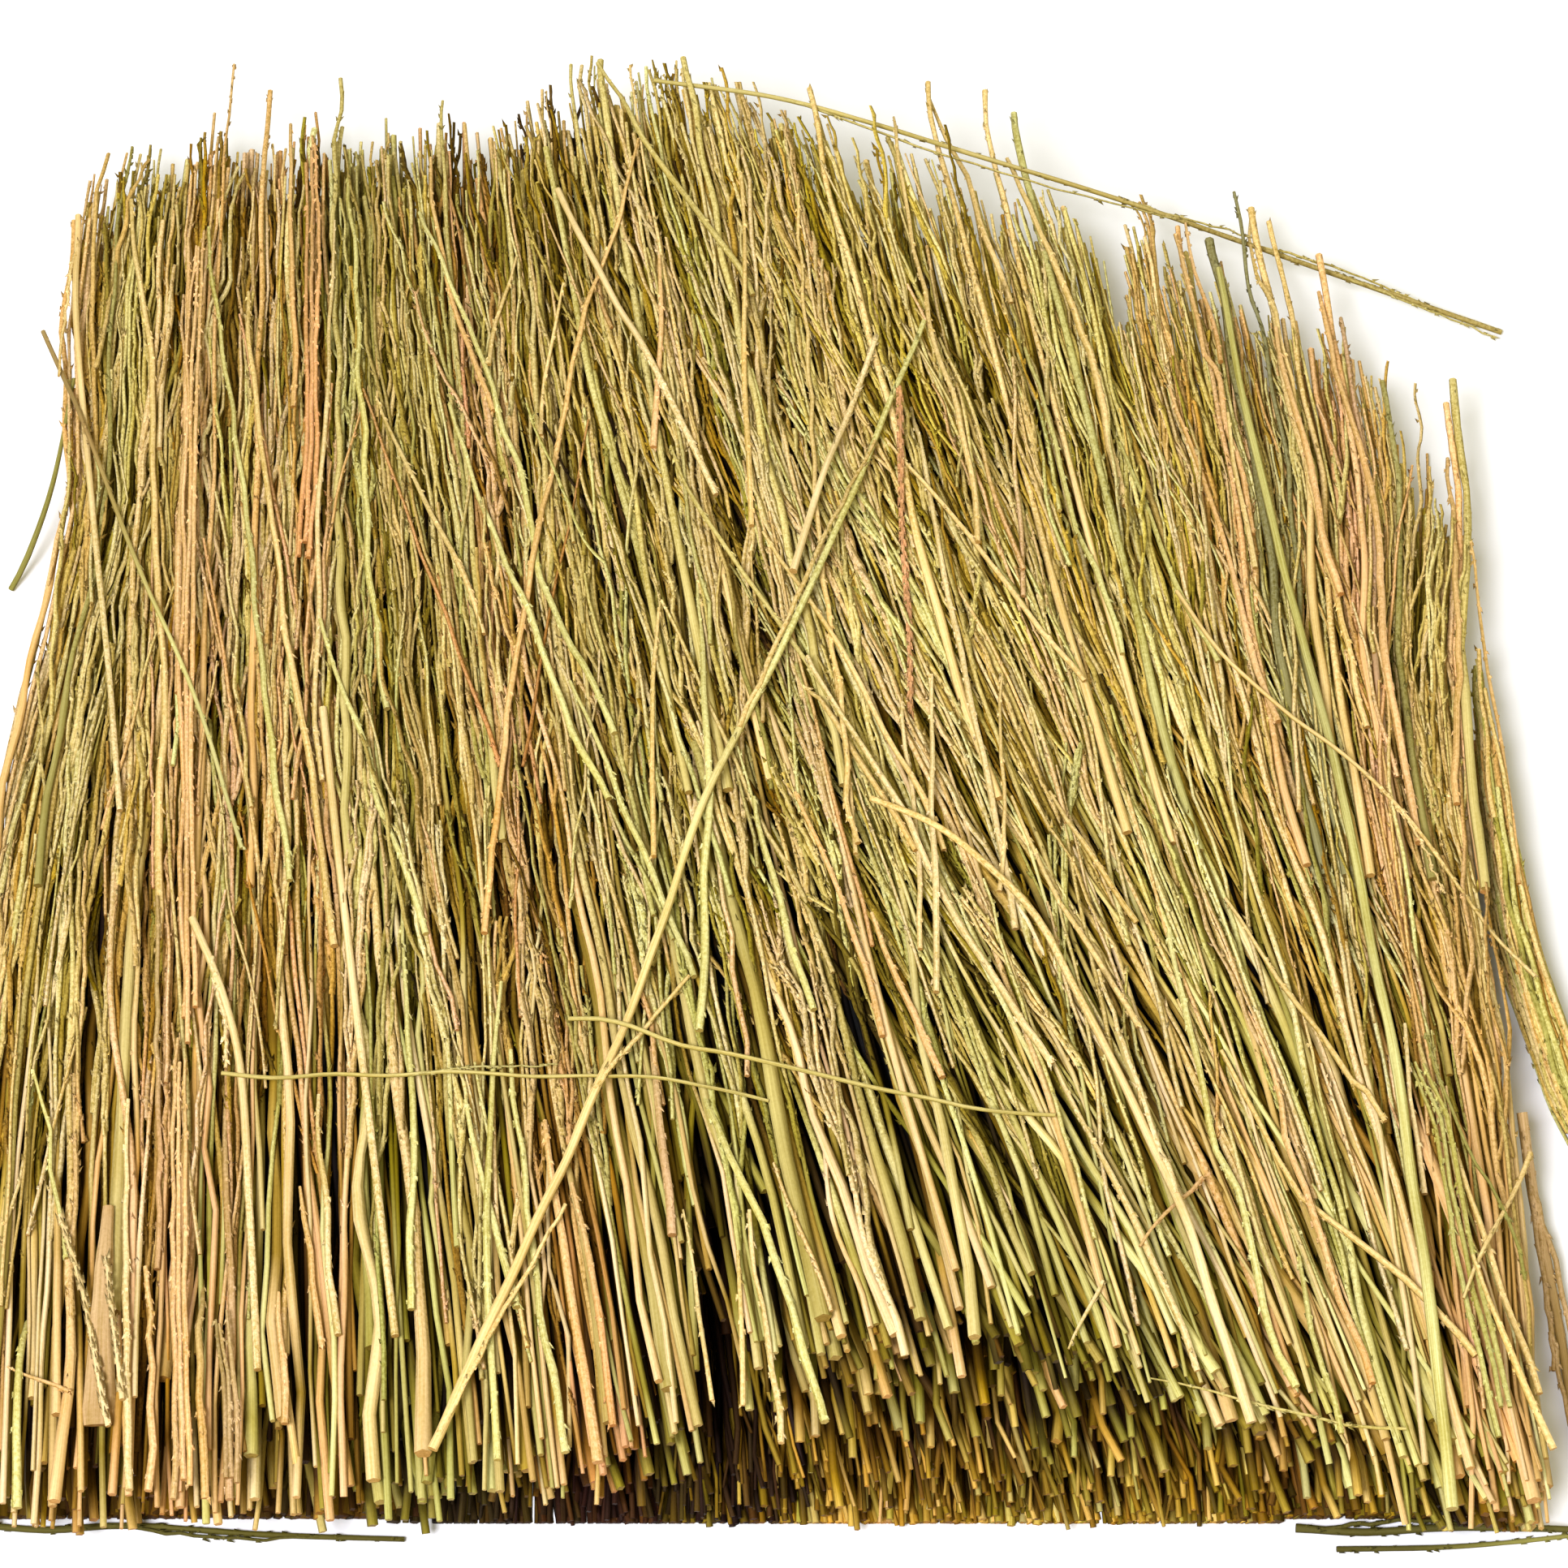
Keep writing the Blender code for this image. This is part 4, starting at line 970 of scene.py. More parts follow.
accentLook = {  # radii and offsets in mm as in the rows above; stems over the widest are made of three
    "widest": 1.3, "parts": 3, "apart": 0.9, "late": 9, "single": 0.85, "split": 0.42, "step": 0.001,
    "smooth": 17, "waver": 0.00022, "waves": (0.06, 0.022), "reach": 9, "soft": 0.7, "sunk": 0.004,
    "ringStep": 0.006, "leastRings": 6, "buttOver": 0.85, "buttY": 110, "buttSink": 0.0045,
    "buttShare": 0.35, "taper": 0.45, "uneven": 0.05, "sides": 6, "tint": (0.95, 1.1), "agedOlive": 0.2,
    "aged": (0.85, 1.05), "smoothOver": 1.1, "rough": 0.6, "wideOver": 1.2, "wide": 0.25,
    "bumpStep": 0.0026, "bumpLength": (0.0008, 0.0018),
}


def accentStrands():
    strands = []
    for colourName, radius, *route in accents:
        parts = accentLook["parts"] if radius > accentLook["widest"] else 1
        for part in range(parts):
            offset = (part - (parts - 1) / 2) * radius * accentLook["apart"]
            late = rng.uniform(0, accentLook["late"], 2) * (parts > 1)
            share = accentLook["single"] if parts == 1 else accentLook["split"]
            points = np.array(route).reshape(-1, 2) / 1000
            points[:, 0] += offset / 1000
            points[0, 1] -= late[0] / 1000
            points[-1, 1] += late[1] / 1000
            strands.append((colourName, radius * share, points, route[1]))
    return strands


def addAccents():
    for colourName, radius, points, beginY in accentStrands():
        length = np.linalg.norm(np.diff(points, axis=0), axis=1).sum()
        share = np.linspace(0, 1, int(length / accentLook["step"]))
        x, y = (np.interp(share, np.linspace(0, 1, len(points)), points[:, axis]) for axis in range(2))
        window = np.hanning(accentLook["smooth"])
        padded = np.pad(x, accentLook["smooth"] // 2, mode="edge")
        x = np.convolve(padded, window / window.sum(), mode="valid")
        x = x + wander(y, accentLook["waver"], accentLook["waves"])
        least = backHeight(x, y) - accentLook["sunk"]
        z = layOn(x, y, radius / 1000, accentLook["reach"], accentLook["soft"], least=least)
        if radius > accentLook["buttOver"] and beginY < accentLook["buttY"]:
            z = z - accentLook["buttSink"] * np.clip(1 - share / accentLook["buttShare"], 0, 1) ** 1.5
        rings = max(int(length / accentLook["ringStep"]), accentLook["leastRings"])
        centre = resample(x, y, z, rings)[None]
        taper = 1 - accentLook["taper"] * np.linspace(1, 0, rings) ** 2
        size = radius / 1000 * (taper + accentLook["uneven"] * rng.normal(size=rings))[None]
        colour = palette[colourName][None] * rng.uniform(*accentLook["tint"])
        aged = (1 - accentLook["agedOlive"]) * colour + accentLook["agedOlive"] * palette["olive"]
        aged = aged * rng.uniform(*accentLook["aged"])
        part = np.full(size.shape, accentLook["rough"] * (radius < accentLook["smoothOver"]))
        wide = np.full(size.shape, 1.0 + accentLook["wide"] * (radius > accentLook["wideOver"]))
        owner = topOwner(centre[:, rings // 2])
        batch = addTubes(centre, size, accentLook["sides"], aged, colour, owner, part, wide)
        perTube = int(length / accentLook["bumpStep"])
        addBumps(batch, perTube, np.array([[0.0]]), length=accentLook["bumpLength"])


addAccents()
print("accents", len(accents))


def smoothRoute(points, step=0.0035):  # a smooth curve through the points
    ends = np.concatenate([[2 * points[0] - points[1]], points, [2 * points[-1] - points[-2]]])
    made = []
    for i in range(len(points) - 1):
        a, b, c, d = ends[i:i + 4]
        parts = max(int(np.linalg.norm(c - b) / step), 2)
        t = np.linspace(0, 1, parts, endpoint=False)[:, None]
        square, cube = 2 * a - 5 * b + 4 * c - d, 3 * b - a - 3 * c + d
        made.append(0.5 * (2 * b + (c - a) * t + square * t ** 2 + cube * t ** 3))
    return np.concatenate(made + [points[-1:]])


strays = (  # loose stalks: node, slot, radius mm, tip share, colours, heights over the back or not, route mm
    ("curved_pale_stem", "pale_stem", 0.8, 0.9, "pale", "pale", True,
     ((-53, 135.5, .8), (-47, 119.5, .8), (-42, 107.5, .8), (-31, 80.5, .8), (-15, 38.5, .8))),
    ("curved_tan_stem", "straw_stem", 0.8, 0.9, "straw", "pale", True,
     ((-172, 158.5, .8), (-169, 123.5, .8), (-161, 73.5, .8), (-153, 25.5, .8), (-146, -19.5, .8))),
    ("left_dark_stem", "brown_stem", 0.6, 0.8, "brown", "sage", True,
     ((-177, 121.5, 1), (-165, 92.5, 3), (-146, 43.5, .8), (-129, 1.5, .8), (-118, -31.5, .8))),
    ("left_outer_stalk", "green_stem", 0.75, 0.6, "slate", "slate", False,
     ((-181.6, 60.5, 1.2), (-177.2, 65.5, 7.6), (-171.6, 80.5, 16.2), (-168, 106, 23.8))),
    ("forked_pale_stalk", "pale_stem", 1.1, 0.6, "pale", "straw", True,
     ((91, -179.5, .8), (77, -131.5, .8), (54, -75.5, .8), (36, -57.5, .8), (18, -47.5, .8))),
    ("pale_front_stalk", "pale_stem", 0.9, 0.95, "pale", "pale", True,
     ((-127, -51.5, .5), (-119, -70.5, .5), (-114, -89.5, .5), (-110, -122.5, .5), (-106, -157.5, .5))),
    ("pale_middle_stalk", "pale_stem", 0.9, 0.95, "pale", "pale", True,
     ((-102, 2.5, .5), (-95, -45.5, .5), (-87, -96.5, .5), (-81, -134.5, .5), (-78, -153.5, .5))),
    ("broad_green_stalk", "green_stem", 1.3, 0.6, "sage", "green", True,
     ((131, -190.5, .8), (128, -94.5, .8), (122, -21.5, .8), (116, 22.5, .8), (108, 84.5, .8),
      (104, 134.5, .8))),
    ("crossing_stem_left", "green_stem", 0.45, 0.8, "olive", "olive", True,
     ((-118, -89.5, 2.6), (-88, -93.5, 2.6), (-58, -99.5, 1.2), (-35, -106.5, .4), (-3, -118.5, .5))),
    ("pale_diagonal_stalk", "pale_stem", 0.9, 0.7, "pale", "pale", True,
     ((2, 13.5, .8), (9, 43.5, .8), (21, 86.5, 1))),
    ("long_diagonal_stalk", "straw_stem", 1.05, 0.6, "straw", "sage", True,
     ((-69, -180.5, 1), (-53, -143.5, 1.2), (-34, -99.5, 1.9), (-15, -42.5, 1), (6, 9.5, 1), (19, 51.5, 2),
      (27, 77.5, 3.6), (32, 93.5, 3.4))),
    ("crossing_stem_right", "green_stem", 0.5, 0.8, "olive", "olive", True,
     ((-44, -91.5, 4.6), (-33, -95.5, 4.8), (-19, -103.5, 2.6), (6, -113.5, .8), (35, -120.5, .8),
      (54, -120.5, .8))),
    ("slanting_peach_stem", "straw_stem", 0.5, 0.8, "straw", "straw", True,
     ((88, 31.5, .8), (97, 14.5, .8), (110, 1.5, 4.6), (128, -16.5, 4.6), (147, -43.5, 1), (161, -62, .8))),
    ("trailing_panicle_stem", "straw_stem", 0.55, 1.25, "olive", "dusty", False,
     ((-31, 166, 62), (-3, 165, 57.5), (20, 163, 51), (43, 160, 44), (81, 156, 31.5), (117, 150, 20),
      (176, 140, 1.2))),
    ("red_spikelet_head", "rust_head", 0.4, 0.8, "rust", "rust", True,
     ((26, 70.5, .6), (26, 33.5, .6), (27, 7.5, .6), (27, -19.5, .6))),
    ("leaf_sheath", "leaf_sheath", 0.6, 1.0, "taupe", "taupe", True,
     ((-137.4, -168.5, .6), (-138.2, -150, .6), (-138.9, -135, .6), (-139.5, -119.5, .6))),
    ("seed_head_outer", "pale_head", 0.6, 0.8, "pale", "pale", True,
     ((-135, -170, 2.7), (-140.3, -149, 2.7), (-143, -139, 1.8), (-149, -122.5, .8))),
    ("seed_head_inner", "pale_head", 0.6, 0.8, "pale", "pale", True,
     ((-131.9, -166.5, 1), (-133.8, -156, 1.6), (-136, -145.5, 2.8), (-138.3, -133, 2.7))),
    ("right_fallen_stem", "brown_stem", 1.2, 0.8, "taupe", "brown", False,
     ((156.2, -92, 18), (158.2, -108, 10), (160.8, -126, 5), (162.6, -147, 2), (163, -168, 1.3))),
    ("floor_stalk_left", "brown_stem", 0.75, 0.7, "soot", "soot", False,
     ((-166, -179, 1.3), (-150, -180.5, 1.4), (-133, -179.5, 1.3), (-105, -181.5, 1.3), (-77, -182.5, 1.3))),
    ("floor_stalk_right", "brown_stem", 0.9, 0.7, "soot", "soot", False,
     ((104, -180, 1.3), (118, -181, 1.4), (134, -180.5, 2.6), (150, -181.5, 4.4), (168, -182.5, 5.2))),
    ("floor_twig_right", "brown_stem", 0.6, 0.7, "soot", "slate", False,
     ((112, -184.5, .9), (135, -184, .9), (156, -182, .9), (172, -179.5, .9))),
)


twigs = (  # side twigs: stray, from and to as shares of it, widest gap mm, 1 comes back and 0 stays out
    ("long_diagonal_stalk", 0.01, 0.19, 4.2, 0), ("long_diagonal_stalk", 0.27, 0.37, 9.0, 0),
    ("long_diagonal_stalk", 0.56, 0.86, -1.6, 1), ("crossing_stem_left", 0.34, 0.60, -3.0, 0),
    ("trailing_panicle_stem", 0.14, 0.62, 3.4, 1), ("trailing_panicle_stem", 0.55, 0.70, -2.4, 0),
    ("trailing_panicle_stem", 0.70, 0.90, -2.0, 1), ("trailing_panicle_stem", 0.80, 0.99, 2.4, 0),
    ("forked_pale_stalk", 0.30, 0.62, 6.0, 0), ("pale_front_stalk", 0.10, 0.35, 3.0, 0),
    ("slanting_peach_stem", 0.62, 0.78, 4.0, 0), ("curved_tan_stem", 0.05, 0.30, 5.0, 0),
    ("floor_stalk_right", 0.10, 0.55, -2.0, 1), ("floor_stalk_left", 0.30, 0.80, 1.6, 1),
    ("right_fallen_stem", 0.05, 0.70, 2.6, 0), ("right_fallen_stem", 0.30, 0.95, 1.8, 1),
    ("right_fallen_stem", 0.20, 0.95, -2.2, 1),
)


twigLook = {
    "rings": 16, "sides": 5, "power": 1.2, "shake": 0.0002, "lift": 0.5, "taper": (0.6, 0.4), "bumps": 18,
}
strayLook = {
    "step": 0.0008, "reach": 14, "soft": 0.8, "sunk": 0.001, "uneven": 0.03, "sides": 8, "bumps": 40,
    "sheathShares": (0, 0.08, 0.33, 0.66, 1), "sheathWidths": (3.3, 3.8, 2.7, 2.0, 1.2), "woolly": 8,
    "headStep": 0.0010, "headSize": (0.0004, 0.0007), "headLength": (0.0022, 0.0032),
    "headOpen": (0.12, 0.28), "panicleBumps": 50, "panicleLength": (0.001, 0.0018),
    "panicleOpen": (0.1, 0.4), "brownLength": (0.0008, 0.0016),
}


def addTwig(path, radius, tint, owner, twig):
    rings = twigLook["rings"]
    name, begin, end, widest, back = twig
    own = np.linspace(0, 1, len(path))
    spine = np.stack([np.interp(np.linspace(begin, end, rings), own, path[:, axis]) for axis in range(3)], 1)
    side, rise = frameOf(unit(np.gradient(spine, axis=0)))
    share = np.linspace(0, 1, rings)
    gap = (np.sin(np.pi * share) if back else share ** twigLook["power"]) * widest / 1000
    gap = gap + twigLook["shake"] * rng.normal(size=rings)
    centre = spine + side * gap[:, None] + rise * (radius * twigLook["lift"])
    size = radius * np.linspace(*twigLook["taper"], rings)
    batch = addTubes(centre[None], size[None], twigLook["sides"], tint, tint, owner, np.ones((1, rings)))
    addBumps(batch, twigLook["bumps"], np.array([[0.1]]))


def addStray(stray):
    node, slotName, radius, taper, buttName, tipName, onBack, route = stray
    owners.append((node, node, slotName))
    owner = len(owners) - 1
    radius = radius / 1000
    points = np.array(route) / 1000
    if onBack:
        points[:, 2] += radius + backHeight(points[:, 0], points[:, 1])
    path = smoothRoute(points)
    if onBack:
        x, y, z = smoothRoute(points, strayLook["step"]).T
        z = layOn(x, y, radius, strayLook["reach"], strayLook["soft"], least=z - strayLook["sunk"])
        path = resample(x, y, z, len(path))
    rings = len(path)
    share = np.linspace(0, 1, rings)
    size = radius * (1 + (taper - 1) * share) * (1 + strayLook["uneven"] * rng.normal(size=rings))
    wide = np.ones(rings)
    if node == "leaf_sheath":
        wide = np.interp(share, strayLook["sheathShares"], strayLook["sheathWidths"]) / (radius * 1000)
    butt, tip = palette[buttName][None], palette[tipName][None]
    part = np.clip((share - 0.5) * strayLook["woolly"], 0, 1) * (slotName in ("straw_stem", "pale_stem"))
    batch = addTubes(path[None], size[None], strayLook["sides"], butt, tip, owner, part[None], wide[None])
    for twig in twigs:
        if twig[0] == node:
            addTwig(path, radius, butt, owner, twig)
    begin = np.array([[0.0]])
    if slotName in ("rust_head", "pale_head"):
        perTube = int(batch["length"][0] / strayLook["headStep"])
        addBumps(batch, perTube, begin, True, size=strayLook["headSize"], length=strayLook["headLength"],
                 open=strayLook["headOpen"])
    elif node == "trailing_panicle_stem":
        addBumps(batch, strayLook["panicleBumps"], begin + 0.3, length=strayLook["panicleLength"],
                 open=strayLook["panicleOpen"])
    elif node in ("long_diagonal_stalk", "slanting_peach_stem", "pale_diagonal_stalk", "curved_pale_stem"):
        addBumps(batch, strayLook["bumps"], begin + 0.5)
    elif slotName == "brown_stem":
        addBumps(batch, strayLook["bumps"], begin, length=strayLook["brownLength"])


for stray in strays:
    addStray(stray)
print("strays", len(strays))

sideTuft = {  # the tuft that parts from the right side; rows: y, left side, right side, height in mm
    "rows": ((30, 157.4, 158.8, 20.5), (0, 156.2, 160.2, 21.5), (-24, 156.4, 162.2, 21),
             (-43, 157.2, 164.4, 19.5), (-62, 160.6, 168.4, 15.5), (-79, 164.6, 172.8, 11),
             (-94, 169.4, 178, 7.5)),
    "stems": 76, "rings": 24, "sides": 5, "colours": ("peach", "sage", "green", "olive", "straw", "pale"),
    "begin": -0.094, "beginSpread": 0.006, "end": 0.030, "endSpread": 0.055, "radius": (0.00035, 0.00085),
    "taper": (1.0, 0.75), "upPower": 0.8, "waver": 0.00030, "waves": (0.05, 0.025), "deep": 0.0006,
    "tint": (0.95, 1.3), "bumps": 14,
}


def addSideTuft():
    owners.append(("right_side_tuft", "right_side_tuft", "grass_middle"))
    count, rings = sideTuft["stems"], sideTuft["rings"]
    each = (count, 1)
    table = np.array(sideTuft["rows"], float)[::-1] / 1000
    begin = sideTuft["begin"] + rng.exponential(sideTuft["beginSpread"], each)
    end = sideTuft["end"] - rng.random(each) * sideTuft["endSpread"]
    y = begin + (end - begin) * np.linspace(0, 1, rings)
    radius = rng.uniform(*sideTuft["radius"], each) * np.linspace(*sideTuft["taper"], rings)
    left, right, tall = (np.interp(y, table[:, 0], table[:, column]) for column in (1, 2, 3))
    across, up = rng.random(each), rng.random(each) ** sideTuft["upPower"]
    half = np.maximum((right - left) / 2 - radius, 0.0002)
    x = (left + right) / 2 + half * (2 * across - 1)
    x = x + np.array([wander(line, sideTuft["waver"], sideTuft["waves"]) for line in y])
    z = radius + up * (tall - 2 * radius)
    # a little painted shade at random depths
    deep = sideTuft["deep"] * np.abs(rng.normal(size=each))
    names = rng.choice(sideTuft["colours"], count)
    butt = np.array([palette[name] for name in names]) * rng.uniform(*sideTuft["tint"], each)
    batch = addTubes(np.stack([x, y, z], 2), radius, sideTuft["sides"], butt, butt, len(owners) - 1,
                     np.ones(radius.shape), depth=deep)
    addBumps(batch, sideTuft["bumps"], np.zeros(each))


addSideTuft()
print("side tuft stems", sideTuft["stems"])


# shaders
class Wire:
    def __init__(self, socket):
        self.socket = socket

    def node(self, kind, settings=None, values=None, output=0):
        return makeNode(self.socket.id_data, kind, settings, values, output)

    def math(self, operation, *values):
        return self.node("ShaderNodeMath", {"operation": operation}, dict(enumerate((self,) + values)))

    def mix(self, other, share):
        return self.node("ShaderNodeMix", {"data_type": "RGBA"}, {0: share, 6: self, 7: other}, 2)

    def ramp(self, low, high):
        smooth = {"interpolation_type": "SMOOTHSTEP"}
        return self.node("ShaderNodeMapRange", smooth, {0: self, 1: low, 2: high, 3: 0.0, 4: 1.0})

    def combine(self, *values):
        return self.node("ShaderNodeCombineXYZ", None, dict(enumerate(values)))

    def times(self, colour):  # channel by channel
        return self.node("ShaderNodeVectorMath", {"operation": "MULTIPLY"}, {0: self, 1: colour})

    def split(self):
        outputs = self.node("ShaderNodeSeparateXYZ", None, {0: self}).socket.node.outputs
        return [Wire(output) for output in outputs]

    def __add__(self, other):
        return self.math("ADD", other)

    def __mul__(self, other):
        return self.math("MULTIPLY", other)

    __radd__ = __add__
    __rmul__ = __mul__

    def __sub__(self, other):
        return self.math("SUBTRACT", other)

    def __rsub__(self, other):
        return self.math("MULTIPLY", -1.0) + other


def makeNode(tree, kind, settings=None, values=None, output=0):
    node = tree.nodes.new(kind)
    for name, value in (settings or {}).items():
        setattr(node, name, value)
    for name, value in (values or {}).items():
        slot = node.inputs[name]
        if isinstance(value, Wire):
            tree.links.new(value.socket, slot)
        else:
            slot.default_value = value
    return Wire(node.outputs[output])


strawLook = {
    "rough": 0.6, "streak": 0.48, "speckle": 0.8, "grey": 0.3, "blotch": 0.34, "bump": 0.9,
    "specular": 0.14,
}
looks = {
    "grass_top": strawLook,
    "grass_middle": dict(strawLook, grey=0.5),
    "grass_base": dict(strawLook, grey=0.6),
    "straw_stem": dict(strawLook, rough=0.45),
    "pale_stem": dict(strawLook, rough=0.45, grey=0.15),
    "green_stem": dict(strawLook, grey=0.4, streak=0.8, bump=1.3),
    "brown_stem": dict(strawLook, grey=0.5, speckle=0.6),
    "rust_head": dict(strawLook, speckle=0.6, grey=0.2),
    "pale_head": dict(strawLook, speckle=0.25, streak=0.2, grey=0.1),
    "leaf_sheath": dict(strawLook, streak=0.7, grey=0.6, bump=1.3),
}
weave = {  # noises round and along a stem; each noise: scale, detail, roughness; each ramp: from, to
    "round": 2.4, "along": 26.0, "apart": 61.0, "fibre": (1.3, 3.0, 0.6), "blotchX": 91.0,
    "blotchAlong": 30.0, "blotchZ": 13.0, "blotch": (1.0, 2.0), "speckle": (1200.0, 2.0, 0.65),
    "grey": (0.45, 1.0), "greyRamp": (0.52, 0.75), "greyTint": (0.42, 0.385, 0.17, 1.0),
    "greyFrom": (0.05, 0.3), "warm": (0.8, 1.0), "warmRamp": (0.5, 0.8), "warmHue": 0.496,
    "warmSaturation": 1.1, "pithAndShade": (0.56, 0.43, 0.25), "shade": (0.25, 1.35), "greenPower": (0.14, 0.15),
    "bluePower": (1.4, 0.6), "speckleShares": (0.2, 0.7), "roughFibre": 0.25, "roughPart": 0.12,
    "reliefFibre": 0.4, "reliefShares": (0.3, 0.7), "reliefDistance": 0.0004,
}


def grassMaterial(name, look):
    material = bpy.data.materials.new(name)
    material.use_nodes = True
    tree = material.node_tree
    shader = next(node for node in tree.nodes if node.type == "BSDF_PRINCIPLED")
    tint, strand, ring = (
        makeNode(tree, "ShaderNodeAttribute", {"attribute_name": label}, None, output)
        for label, output in (("tint", 0), ("strand", 1), ("ring", 1))
    )
    spot = makeNode(tree, "ShaderNodeTexCoord", None, None, 3)
    along, chance, cut = strand.split()
    turnX, turnY, part = ring.split()

    def noise(vector, scale, detail, rough=0.5):
        values = {"Vector": vector, "Scale": scale, "Detail": detail, "Roughness": rough}
        return vector.node("ShaderNodeTexNoise", None, values)

    fibreZ = along * weave["along"] + chance * weave["apart"]
    fibre = noise(along.combine(turnX * weave["round"], turnY * weave["round"], fibreZ), *weave["fibre"])
    blotchX, blotchZ = chance * weave["blotchX"], chance * weave["blotchZ"]
    blotchAt = along.combine(blotchX, along * weave["blotchAlong"], blotchZ)
    blotch = noise(blotchAt, *weave["blotch"])
    speckle = noise(spot, *weave["speckle"])
    least, more = weave["speckleShares"]
    value = 1.0 + (fibre - 0.5) * look["streak"] * 2.0 + (blotch - 0.5) * look["blotch"] * 2.0
    value = value + (speckle - 0.5) * (least + part * more) * look["speckle"] * 2.0
    bright = tint.node("ShaderNodeRGBToBW", None, {0: tint}).ramp(*weave["greyFrom"])
    grey = noise(blotchAt, *weave["grey"]).ramp(*weave["greyRamp"]) * look["grey"]
    colour = tint.mix(weave["greyTint"], grey * bright)
    warmer = {"Hue": weave["warmHue"], "Saturation": weave["warmSaturation"], "Color": colour}
    warm = noise(blotchAt, *weave["warm"]).ramp(*weave["warmRamp"])
    colour = colour.mix(colour.node("ShaderNodeHueSaturation", None, warmer), warm)
    # cut ends darker and yellower: the pith's own colour with painted shade on the cut face
    colour = colour.mix(colour.times(weave["pithAndShade"]), cut)
    darkest, lightest = weave["shade"]
    shade = value.math("MAXIMUM", darkest).math("MINIMUM", lightest)
    below, above = shade.math("MINIMUM", 1.0), shade.math("MAXIMUM", 1.0)
    green, blue = (
        shade * below.math("POWER", dark) * above.math("POWER", light)
        for dark, light in (weave["greenPower"], weave["bluePower"])
    )
    colour = colour.times(shade.combine(shade, green, blue))
    tree.links.new(colour.socket, shader.inputs["Base Color"])
    rough = (fibre - 0.5) * weave["roughFibre"] + look["rough"] + part * weave["roughPart"]
    tree.links.new(rough.socket, shader.inputs["Roughness"])
    shader.inputs["Specular IOR Level"].default_value = look["specular"]
    least, more = weave["reliefShares"]
    height = fibre * weave["reliefFibre"] + speckle * (least + part * more)
    relief = {"Strength": look["bump"], "Distance": weave["reliefDistance"], "Height": height}
    tree.links.new(height.node("ShaderNodeBump", None, relief).socket, shader.inputs["Normal"])
    return material


materials = {name: grassMaterial(name, look) for name, look in looks.items()}
print("materials", len(materials))

stripRoom = {"height": 0.42, "gap": 0.004}


def packStrips(lengths):
    tall = max(stripRoom["height"], lengths.max() + stripRoom["gap"] * 2)
    column = np.zeros(len(lengths), int)
    start = np.zeros(len(lengths))
    now, place = 0, 0.0
    for index in np.argsort(-lengths):
        need = lengths[index] + stripRoom["gap"]
        if place + need > tall:
            now, place = now + 1, 0.0
        column[index], start[index] = now, place + stripRoom["gap"]
        place += need
    return column, start, now + 1, tall


strip = {  # a tube's strip in the texture, its caps and husks: shares of a column, or metres
    "from": 0.06, "share": 0.88, "capShare": 0.3, "capSize": 0.0008, "capGaps": (0.002, 0.0012),
    "huskHalf": 0.25, "huskTall": 0.0007,
}
walls = {  # how a tube's sides are turned, and painted light and shade by how they face: lighter above, darker and yellower below
    "turn": 0.3, "middle": 0.78, "up": 0.32, "side": 0.14, "limits": (0.5, 1.0),
    "power": np.array([1.0, 1.13, 2.2]), "tint": (0.004, 0.95),
}


class Sheet:  # collects the points, faces and texture places of one piece
    def __init__(self):
        self.points, self.tints, self.strands, self.rings = [], [], [], []
        self.loops, self.counts, self.uvs = [], [], []
        self.base = 0

    def add(self, vertices, tint, strand, ring, faces, uv):  # faces count from the first of these points
        lists = (self.points, self.tints, self.strands, self.rings)
        for kept, values in zip(lists, (vertices, tint, strand, ring)):
            kept.append(np.broadcast_to(values, vertices.shape).reshape(-1, 3))
        self.loops.append(faces.reshape(-1) + self.base)
        self.counts.append(np.full(faces.size // faces.shape[-1], faces.shape[-1]))
        self.uvs.append(uv.reshape(-1, 2))
        self.base += vertices.size // 3


def stack(*parts):
    return np.stack(np.broadcast_arrays(*parts), -1)


def pick(values, rows, names):  # some rows of each named array
    return {name: values[name][rows] for name in names}


